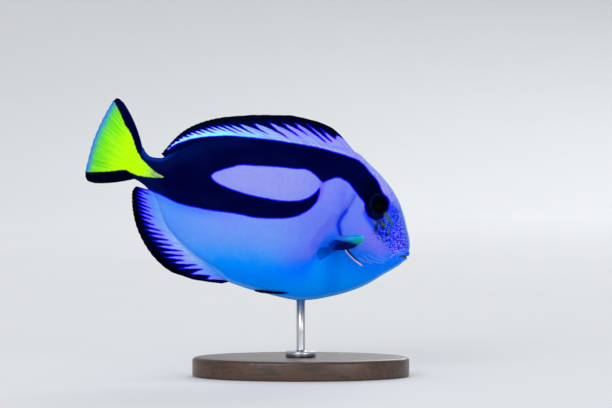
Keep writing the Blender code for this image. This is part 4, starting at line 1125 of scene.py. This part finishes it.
def crest_paint(field, ground, x, spikes):
    """The light strip along the back, a painted highlight over the forehead, with threads of deeper colour
    along the fin's rays.
    """
    brink, crest = field("brink"), field("crest")
    # Forward of the dorsal fin these lilac-white stops are a painted highlight over the forehead
    ridge = ramp(x, [
        (-121.0, (156, 244, 248)), (-105.0, (144, 250, 248)), (-95.0, (140, 244, 247)),
        (-84.0, (146, 200, 240)), (-66.0, (142, 160, 240)), (-44.0, (140, 152, 241)),
        (-35.0, (166, 164, 240)), (-20.0, (176, 170, 240)), (-6.0, (84, 112, 248))])
    palest = ramp(x, [
        (-121.0, (146, 246, 250)), (-100.0, (134, 248, 250)), (-86.0, (134, 240, 246)),
        (-73.0, (176, 216, 236)), (-52.0, (184, 200, 240)), (-38.0, (168, 172, 242))])
    ridge = coat(ridge, fade(crest, 2.8, 0.7) * fade(x, -33.0, -44.0) * 0.8, palest)
    ridge = coat(ridge, spikes["Thread"] * between(x, -100.0, -80.0, -46.0, -38.0) * 0.4, (100, 92, 232))
    lines = fade(noise(flat_place(x * 0.8, brink * 2.2), 1.0, 3.0, 0.7), 0.46, 0.56)
    ridge = coat(ridge, lines * fade(x, -46.0, -36.0) * 0.6, (98, 96, 238))
    # Painted highlight along the forehead's outline
    ridge = coat(ridge, fade(brink, 0.9, 0.35) * fade(x, -42.0, -33.0) * 0.75, (120, 190, 255))
    return coat(ground, fade(crest, -0.6, 0.3), ridge)


def face_paint(field, ground, place, x, z):
    """Dark blue spots on a mesh of pink and blue, from the mouth up to the eye, a rippled cheek and painted
    highlights on the folds round the mouth and throat.
    """
    cells = {"Vector": stretched(place, (0.9, 0.7, 1.0)), "Scale": 1.12, "Randomness": 0.95}
    size = noise(place, 0.45, 2.0) * 0.5 + 0.14
    higher = fade(z * 0.35 + x, -7.5, -14.5) * -0.2 + 0.08
    depth = from_node("ShaderNodeTexVoronoi", cells, "Distance") - size + higher
    mesh = ramp(depth, [
        (-0.3, (0, 8, 96)), (-0.08, (2, 20, 168)), (0.06, (20, 56, 244)), (0.26, (44, 80, 250)),
        (0.5, (66, 86, 250))])
    side_view = on_places("MULTIPLY", place, (1.0, 0.0, 1.0))
    from_eye = on_places("DISTANCE", side_view, (EYE_X, 0.0, EYE_Z), output="Value")
    fleck = fade(depth, 0.08, 0.26) * fade(noise(place, 1.3, 2.0), 0.48, 0.58) * fade(from_eye, 9.5, 15.5)
    mesh = coat(mesh, fleck * (fade(x, -11.0, -5.0) * 0.5 + 0.3), (196, 140, 246))
    face = field("face")
    edge = face + noise(place, 0.75, 4.0) * 4.0 - 2.3
    ground = coat(ground, fade(edge, -0.8, 1.2), mesh)
    ground = coat(ground, fade(depth, 0.0, -0.12) * fade(face, -1.8, -0.4) * 0.75, (4, 24, 176))
    wrinkles = noise(stretched(place, (0.16, 1.0, 1.3), (0.0, 0.18, 0.0)), 1.0, 3.0, 0.6)
    cheek = between(x, -30.0, -20.0, -9.0, -4.0) * between(z, -13.0, -9.5, 2.0, 8.0) * fade(edge, 0.6, -0.5)
    ripple = mix(fade(z, -6.5, -2.5), (30, 122, 255), (92, 108, 250))
    rippled = fade(wrinkles, 0.5, 0.58) * cheek * fade(field("blue"), 0.5, 0.1)
    ground = coat(ground, rippled * 0.6, ripple)
    # Painted highlights on the folds round the mouth and the throat's ripples
    return coat(ground, field("pale") * 0.55, (116, 172, 255)), wrinkles * cheek


def gill_paint(field, ground, x, z):
    """The line of the gill cover, painted shade in its opening, blue above and near black below, with a pale
    pink lip behind its foot.
    """
    behind, opened = field("behind"), field("opened")
    lip = between(behind, 0.2, 0.45, 0.75, 1.1) * between(x, -30.0, -27.6, -20.0, -18.0) * fade(z, -6.4, -8.0)
    ground = coat(ground, lip, (238, 206, 232))
    low = fade(z, 1.0, -5.0)
    wide, narrow = between(behind, -1.3, -0.3, 0.1, 0.9), between(behind, -0.75, -0.25, 0.15, 0.5)
    # The gill line is painted shade in the opening
    line = opened * (fade(z, 13.0, 5.0) * 0.42 + 0.56) * (wide * (1.0 - low) + narrow * low)
    return coat(ground, line, mix(low, (8, 52, 226), (2, 4, 70)))


def lay_on(shader, scales, place, paint, fineness=1.2, tone=0.14, relief=None, bumps=(0.00012, 0.3),
           rough=(0.36, 0.14)):
    """Gives a shader its paint, toned from scale to scale, and the relief and gloss of the scales."""
    scale = use(scales, place=place, fineness=fineness)
    if tone:
        grey = mix(scale["Shade"], (148, 148, 148), (224, 224, 224))
        paint = mix(tone, paint, grey, "OVERLAY")
    plug(shader["Base Color"], paint)
    height = scale["Height"] if relief is None else scale["Height"] * 0.5 + relief
    plug(shader["Normal"], bump(height, *bumps))
    plug(shader["Roughness"], scale["Shade"] * rough[1] + rough[0])


def read_streaks(field, place, streaks, taper):
    """The spikes of a fin's dark margin, with the light and the threads between them."""
    fields = {name: field(name) for name in ("ray", "past", "spike", "spacing")}
    return use(streaks, place=place, taper=taper, **fields)


def make_skin_finish(scales, ink, streaks, wedge):
    """The painted skin: flank, face spots, black hook-shaped band, tail wedge and fine scales, with painted
    shade and highlights.
    """
    finish, field, shader = begin_finish("tang_skin", specular_ior_level=0.004)
    place = field("place", "Vector")
    x, z = part_of(place, "X"), part_of(place, "Z")
    spikes = read_streaks(field, place, streaks, 2.2)
    ground = hem_paint(field, flank_paint(field, place, x, z), x)
    ground = crest_paint(field, ground, x, spikes)
    ground, wrinkles = face_paint(field, ground, place, x, z)
    ground = gill_paint(field, ground, x, z)
    # Painted shadow under the pectoral fin's root and painted shade in the mouth's cleft
    ground = coat(ground, field("dark") * 0.9, (4, 10, 84))

    brink = field("brink")
    # Painted highlights on the black: a thin line along the top of the tail stem, and a faint sheen near the
    # outline towards the tail
    sheen = between(brink, -0.3, 0.5, 0.8, 2.4) * fade(x, -113.5, -121.5) * fade(z, 0.0, 2.5)
    painted_band_sheen = fade(brink, 8.0, 3.5) * fade(x, -78.0, -90.0)
    on_strip = fade(field("crest"), -0.2, 0.5) * fade(x, -39.0, -44.0)
    strip_ink = (spikes["Ink"] + 6.0) * on_strip - 6.0
    black = mix(fade(x, -34.0, -25.0), (0, 0, 50), (0, 0, 32))
    paint = use(ink, ground=ground, ink=reckon("MAXIMUM", field("ink"), strip_ink), place=place, black=black,
                sheen=sheen * 0.8 + painted_band_sheen * 0.08)["Color"]
    paint = coat(paint, field("blotch") * 0.9, (0, 12, 44))
    paint = coat(paint, field("olive") * 0.95, (60, 98, 14))
    paint = use(wedge, under=paint, wedge=field("wedge"), place=place)["Color"]
    lay_on(shader, scales, place, paint, 1.7, 0.34, wrinkles * 2.4, (0.00022, 0.5), (0.34, 0.16))
    return finish


def make_edge_fin_finish(name, scales, ink, streaks, along, by_root, taper, calm, inward, strength,
                         streak_tint, flush_tint, strand_tint, black):
    """A fin with light streaks between dark rays that run in from a black margin."""
    finish, field, shader = begin_finish(name, specular_ior_level=0.004)
    place, ray, past = field("place", "Vector"), field("ray"), field("past")
    from_root = field("from_root")
    x = part_of(place, "X")
    spikes = read_streaks(field, place, streaks, taper)
    ground = coat(ramp(x, along), fade(from_root, 5.5, 0.5) * 0.75, ramp(x, by_root))
    outer = past / reckon("MAXIMUM", field("spike"), 1.0)
    tinted = fade(spikes["Light"], 0.1, 0.7) * fade(outer, inward, -0.1)
    ground = coat(ground, tinted * strength, streak_tint)
    ground = coat(ground, spikes["Flush"] * 0.6, flush_tint)
    threaded = fade(x, calm - 11.0, calm + 11.0)
    ground = coat(ground, spikes["Thread"] * threaded * 0.35, (88, 96, 234))
    strand = fade(noise(flat_place(from_root * 1.7, ray * 0.25), 1.0, 2.0), 0.46, 0.56)
    ground = coat(ground, strand * fade(from_root, 6.0, 2.5) * threaded * 0.35, strand_tint)
    on_margin = fade(past, 0.0, 1.2) * fade(from_root, 1.5, 4.0)
    paint = use(ink, ground=ground, ink=reckon("MAXIMUM", spikes["Ink"], field("band")), place=place,
                rim=-0.5, black=mix(on_margin, (0, 0, 50), black))["Color"]
    lay_on(shader, scales, place, paint)
    return finish


def make_caudal_finish(scales, ink, wedge):
    """The tail fin: yellow between black lobes, its rear edge clear blue, a painted highlight along the upper
    lobe's outer edge.
    """
    finish, field, shader = begin_finish("tang_tail_fin", specular_ior_level=0.004)
    place, ray = field("place", "Vector"), field("ray")
    lower = fade(ray, 9.0, 4.0) * fade(part_of(place, "X"), -128.0, -136.0)
    # Sheen here is a painted highlight along the upper lobe's outer edge
    inked = use(ink, ground=(20, 30, 120), ink=field("ink"), place=place,
                black=mix(lower, (0, 0, 44), (0, 1, 6)), sheen=fade(ray, 16.2, 17.0) * 0.45)["Color"]
    paint = use(wedge, under=inked, wedge=field("wedge"), place=place,
                from_edge=field("from_edge"), ray=ray)["Color"]
    lay_on(shader, scales, place, paint, tone=0.1, bumps=(0.00012, 0.25))
    return finish


def make_pectoral_finish(scales):
    """The clear blue paired fin: bright cyan leading rays, partly painted highlight, dark next to them as
    painted shade of the underside, thin behind.
    """
    finish, field, shader = begin_finish("tang_pectoral_fin", specular_ior_level=0.01)
    place, ray, out = field("place", "Vector"), field("ray"), field("out")
    # Leading rays bright cyan, partly their own colour and partly painted highlight; the next rays near
    # black, painted shade of the underside; the last rays a painted shaded azure
    paint = ramp(ray + noise(place, 0.25) * 1.2 - 0.6, [
        (0.2, (30, 170, 246)), (1.6, (40, 196, 250)), (3.2, (26, 176, 236)), (4.3, (12, 110, 190)),
        (5.2, (1, 4, 76)), (8.6, (0, 1, 64)), (10.0, (0, 62, 196)), (11.5, (0, 84, 216))])
    paint = coat(paint, fade(out, 0.55, 0.8) * between(ray, 1.8, 3.6, 4.6, 5.6) * 0.65, (24, 160, 104))
    paint = coat(paint, fade(out, 0.36, 0.1) * 0.6, (4, 60, 190))
    paint = coat(paint, fade(out, 0.5, 0.2) * fade(ray, 5.0, 3.6) * 0.85, (46, 112, 240))
    lay_on(shader, scales, place, paint, 1.4, tone=None, bumps=(0.0001, 0.25), rough=(0.3, 0.12))
    plug(shader["Alpha"], 1.0 - fade(ray, 10.0, 12.5) * fade(out, 0.25, 0.75) * 0.5)
    return finish


def make_pelvic_finish(scales, ink):
    finish, field, shader = begin_finish("tang_pelvic_fin", specular_ior_level=0.004)
    place = field("place", "Vector")
    paint = use(ink, ground=(10, 96, 226), ink=field("out") * 8.0 - 1.0, place=place)["Color"]
    lay_on(shader, scales, place, paint, 1.4, tone=None, bumps=(0.0001, 0.25), rough=(0.32, 0.12))
    return finish


def make_eye_finish():
    """A glossy dark eye: black pupil, navy iris with a paler arc above its rear and one below its front."""
    finish, field, shader = begin_finish("tang_eye", roughness=0.3, specular_ior_level=0.004,
                                         coat_weight=0.01, coat_roughness=0.02)
    iris = field("iris", "Vector")
    forward, up = part_of(iris, "X"), part_of(iris, "Y")
    from_pupil = on_places("MULTIPLY", on_places("SUBTRACT", iris, (0.4, 0.2, 0.0)), (1.0, 0.9, 0.0))
    radius = on_places("LENGTH", from_pupil, output="Value")
    wavy = radius + noise(iris, 1.4, 5.0, 0.7) * 0.5 - 0.25
    rings = ramp(wavy, [
        (2.9, (0, 0, 8)), (3.3, (0, 4, 40)), (3.7, (0, 1, 22)), (4.3, (1, 10, 48)), (4.8, (0, 3, 30)),
        (5.2, (0, 1, 40))])
    rings = coat(rings, fade(up - forward, 1.5, 6.0) * fade(wavy, 3.3, 4.3) * 0.45, (2, 18, 66))
    rings = coat(rings, fade(forward * 0.5 - up, 2.0, 4.6) * fade(wavy, 3.9, 4.6) * 0.4, (8, 28, 50))
    plug(shader["Base Color"], rings)
    return finish


def make_spine_finish(scales):
    finish, field, shader = begin_finish("tang_tail_spine", roughness=0.35)
    shade = use(scales, place=field("place", "Vector"), fineness=2.5)["Shade"]
    plug(shader["Base Color"], mix(shade, (108, 168, 66), (146, 196, 104)))
    return finish


def make_wood_finish():
    """Dark stained wood with long grain, satin varnished."""
    finish, field, shader = begin_finish("stand_wood", roughness=0.35, coat_weight=0.25, coat_roughness=0.2)
    place = field("place", "Vector")
    warp = noise(stretched(place, (0.012, 0.05, 0.05)), 1.0, 3.0)
    bent_place = on_places("ADD", place, flat_place(0.0, warp * 26.0))
    grain = noise(stretched(bent_place, (0.02, 0.42, 0.42)), 1.0, 6.0, 0.65)
    pore = fade(noise(stretched(bent_place, (0.12, 3.2, 3.2)), 1.0, 3.0), 0.6, 0.72)
    wood = ramp(grain, [
        (0.28, (34, 22, 16)), (0.42, (58, 37, 25)), (0.52, (82, 53, 34)), (0.62, (52, 33, 22)),
        (0.74, (96, 64, 42))])
    plug(shader["Base Color"], coat(wood, pore * 0.6, (22, 14, 10)))
    plug(shader["Roughness"], grain * 0.25 + 0.25)
    plug(shader["Normal"], bump(grain - pore * 0.4, 0.0001, 0.3))
    return finish


def make_steel_finish():
    """Brushed stainless steel: fine marks round the rod."""
    finish, field, shader = begin_finish("stand_steel", metallic=1.0, roughness=0.3)
    marks_round = noise(stretched(field("place", "Vector"), (0.15, 0.15, 9.0)), 1.0, 4.0, 0.7)
    plug(shader["Base Color"], mix(marks_round, (176, 178, 182), (214, 215, 218)))
    plug(shader["Roughness"], marks_round * 0.2 + 0.2)
    plug(shader["Normal"], bump(marks_round, 0.00003, 0.3))
    return finish


def make_floor_finish():
    finish, _, shader = begin_finish("studio_paper", roughness=0.9, specular_ior_level=0.1)
    place = Wire(finish.node_tree.nodes.new("ShaderNodeTexCoord").outputs["Object"])
    plug(shader["Base Color"], mix(noise(place, 3.0), (236, 237, 239), (242, 243, 244)))
    return finish


# Studio


def make_floor(finish):
    """A round pale floor that curves up into a wall on every side."""
    flat, cove, wall = 1.95, 1.6, 2.0
    profile = [(1e-4, 0.0), (0.5, 0.0), (1.2, 0.0), (flat, 0.0)]
    arc = np.radians(np.linspace(4, 90, 24))
    profile += [(flat + cove * math.sin(a), cove - cove * math.cos(a)) for a in arc]
    profile += [(flat + cove, wall)]
    points, faces, _ = turned(profile, around=96)
    mesh = bpy.data.meshes.new("studio_floor")
    mesh.from_pydata((points / MM).tolist(), [], faces[:, ::-1].tolist())
    mesh.polygons.foreach_set("use_smooth", [True] * len(mesh.polygons))
    mesh.materials.append(finish)
    floor = bpy.data.objects.new("studio_floor", mesh)
    bpy.context.scene.collection.objects.link(floor)


def add_light(name, place, size, watts):
    """A soft square light aimed at the fish."""
    lamp = bpy.data.lights.new(name, "AREA")
    lamp.energy, lamp.size = watts, size
    holder = bpy.data.objects.new(name, lamp)
    bpy.context.scene.collection.objects.link(holder)
    holder.location = place
    aim = Vector((0.0, 0.0, 0.08)) - holder.location
    holder.rotation_euler = aim.to_track_quat("-Z", "Y").to_euler()


def make_studio():
    """Four soft lights and a pale sky."""
    add_light("key_light", (-1.0, -2.3, 1.1), 1.4, 24.5)
    add_light("fill_light", (1.4, -2.1, 0.3), 1.2, 14.8)
    add_light("top_light", (0.1, 0.2, 1.9), 1.0, 6.0)
    add_light("back_light", (0.6, 2.2, 1.3), 1.2, 14.0)
    world = bpy.data.worlds.new("studio_air")
    bpy.context.scene.world = world
    world.use_nodes = True
    air = world.node_tree.nodes["Background"].inputs
    air["Color"].default_value = (0.94, 0.97, 1.0, 1.0)
    air["Strength"].default_value = 0.46


def make_camera():
    """A level side view, a little above, framed as the photograph."""
    shot = bpy.data.cameras.new("camera")
    shot.sensor_fit, shot.sensor_width = "HORIZONTAL", SENSOR
    shot.lens = SENSOR * VIEW_DISTANCE / VIEW_WIDTH
    camera = bpy.data.objects.new("camera", shot)
    bpy.context.scene.collection.objects.link(camera)
    back = Vector((0.0, -math.cos(VIEW_RISE), math.sin(VIEW_RISE))) * VIEW_DISTANCE
    camera.location = (Vector(VIEW_CENTRE) + back) * MM
    camera.rotation_euler = (-back).to_track_quat("-Z", "Y").to_euler()
    bpy.context.scene.camera = camera


def set_down(name, form, finish, slot, *nodes):
    """A finished piece, carried on the stand's body in place of its solids."""
    piece = make_piece(name, *form, finish)
    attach(piece, "root")
    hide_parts(*nodes)


def main():
    make_camera()
    make_studio()
    make_floor(make_floor_finish())
    scales, ink, streaks, wedge = make_fine_scales(), make_ink(), make_ray_streaks(), make_wedge()

    skin_finish = make_skin_finish(scales, ink, streaks, wedge)
    set_down("fish_skin", skin(), skin_finish, "skin", "head", "torso", "tail_stem")
    dorsal_finish = make_edge_fin_finish(
        "tang_dorsal_fin", scales, ink, streaks,
        along=[(-121.0, (156, 244, 248)), (-105.0, (146, 250, 248)), (-96.0, (142, 240, 246)),
               (-87.0, (148, 200, 241)), (-78.0, (146, 178, 241)), (-66.0, (143, 161, 241)),
               (-52.0, (138, 150, 242)), (-40.0, (146, 150, 241))],
        by_root=[(-121.0, (150, 250, 250)), (-100.0, (138, 253, 251)), (-86.0, (138, 244, 248)),
                 (-73.0, (166, 198, 239)), (-52.0, (160, 174, 241)), (-40.0, (162, 166, 242))],
        taper=2.2, calm=-93.0, inward=-0.7, strength=0.55, streak_tint=(158, 150, 246),
        flush_tint=(198, 84, 248), strand_tint=(126, 150, 242), black=(0, 3, 20))
    anal_finish = make_edge_fin_finish(
        "tang_anal_fin", scales, ink, streaks,
        along=[(-128.0, (30, 104, 248)), (-122.0, (62, 132, 246)), (-114.0, (112, 158, 243)),
               (-104.0, (142, 176, 241)), (-94.0, (150, 182, 240)), (-86.0, (112, 168, 242)),
               (-76.0, (14, 122, 246))],
        by_root=[(-128.0, (22, 138, 244)), (-121.0, (52, 146, 243)), (-114.0, (112, 170, 241)),
                 (-104.0, (156, 192, 240)), (-94.0, (158, 194, 240)), (-86.0, (84, 162, 243)),
                 (-76.0, (6, 126, 246))],
        taper=1.6, calm=-145.0, inward=-1.25, strength=0.72, streak_tint=(142, 122, 248),
        flush_tint=(136, 74, 248), strand_tint=(92, 142, 240), black=(1, 1, 14))
    dorsal = edge_fin(DORSAL_RAYS, BACK, 1, dorsal_light(), DORSAL_SPIKES)
    anal = edge_fin(ANAL_RAYS, BELLY, -1, anal_light(), ANAL_SPIKES)
    set_down("fish_dorsal_fin", dorsal, dorsal_finish, "fin_dark", "dorsal_fin")
    set_down("fish_anal_fin", anal, anal_finish, "fin_dark", "anal_fin")
    tail_finish = make_caudal_finish(scales, ink, wedge)
    set_down("fish_tail_fin", caudal_fin(), tail_finish, "fin_yellow", "caudal_fin")
    pectoral_finish, pelvic_finish = make_pectoral_finish(scales), make_pelvic_finish(scales, ink)
    eye_finish, spine_finish = make_eye_finish(), make_spine_finish(scales)
    for side, word in ((1, "left"), (-1, "right")):
        for part, form, finish, slot in (
                ("pectoral_fin", pectoral_fin(side), pectoral_finish, "fin_clear"),
                ("pelvic_fin", pelvic_fin(side), pelvic_finish, "fin_dark"),
                ("eye", eye(side), eye_finish, "eye"),
                ("tail_spine", tail_spine(side), spine_finish, "spine")):
            set_down(f"fish_{part}_{word}", form, finish, slot, f"{part}_{word}")
    set_down("stand_oval_base", stand_base(), make_wood_finish(), "stand_base", "stand_base")
    set_down("stand_turned_rod", stand_rod(), make_steel_finish(), "stand_metal", "stand_rod")
    bpy.context.scene.view_settings.view_transform = "Standard"


main()
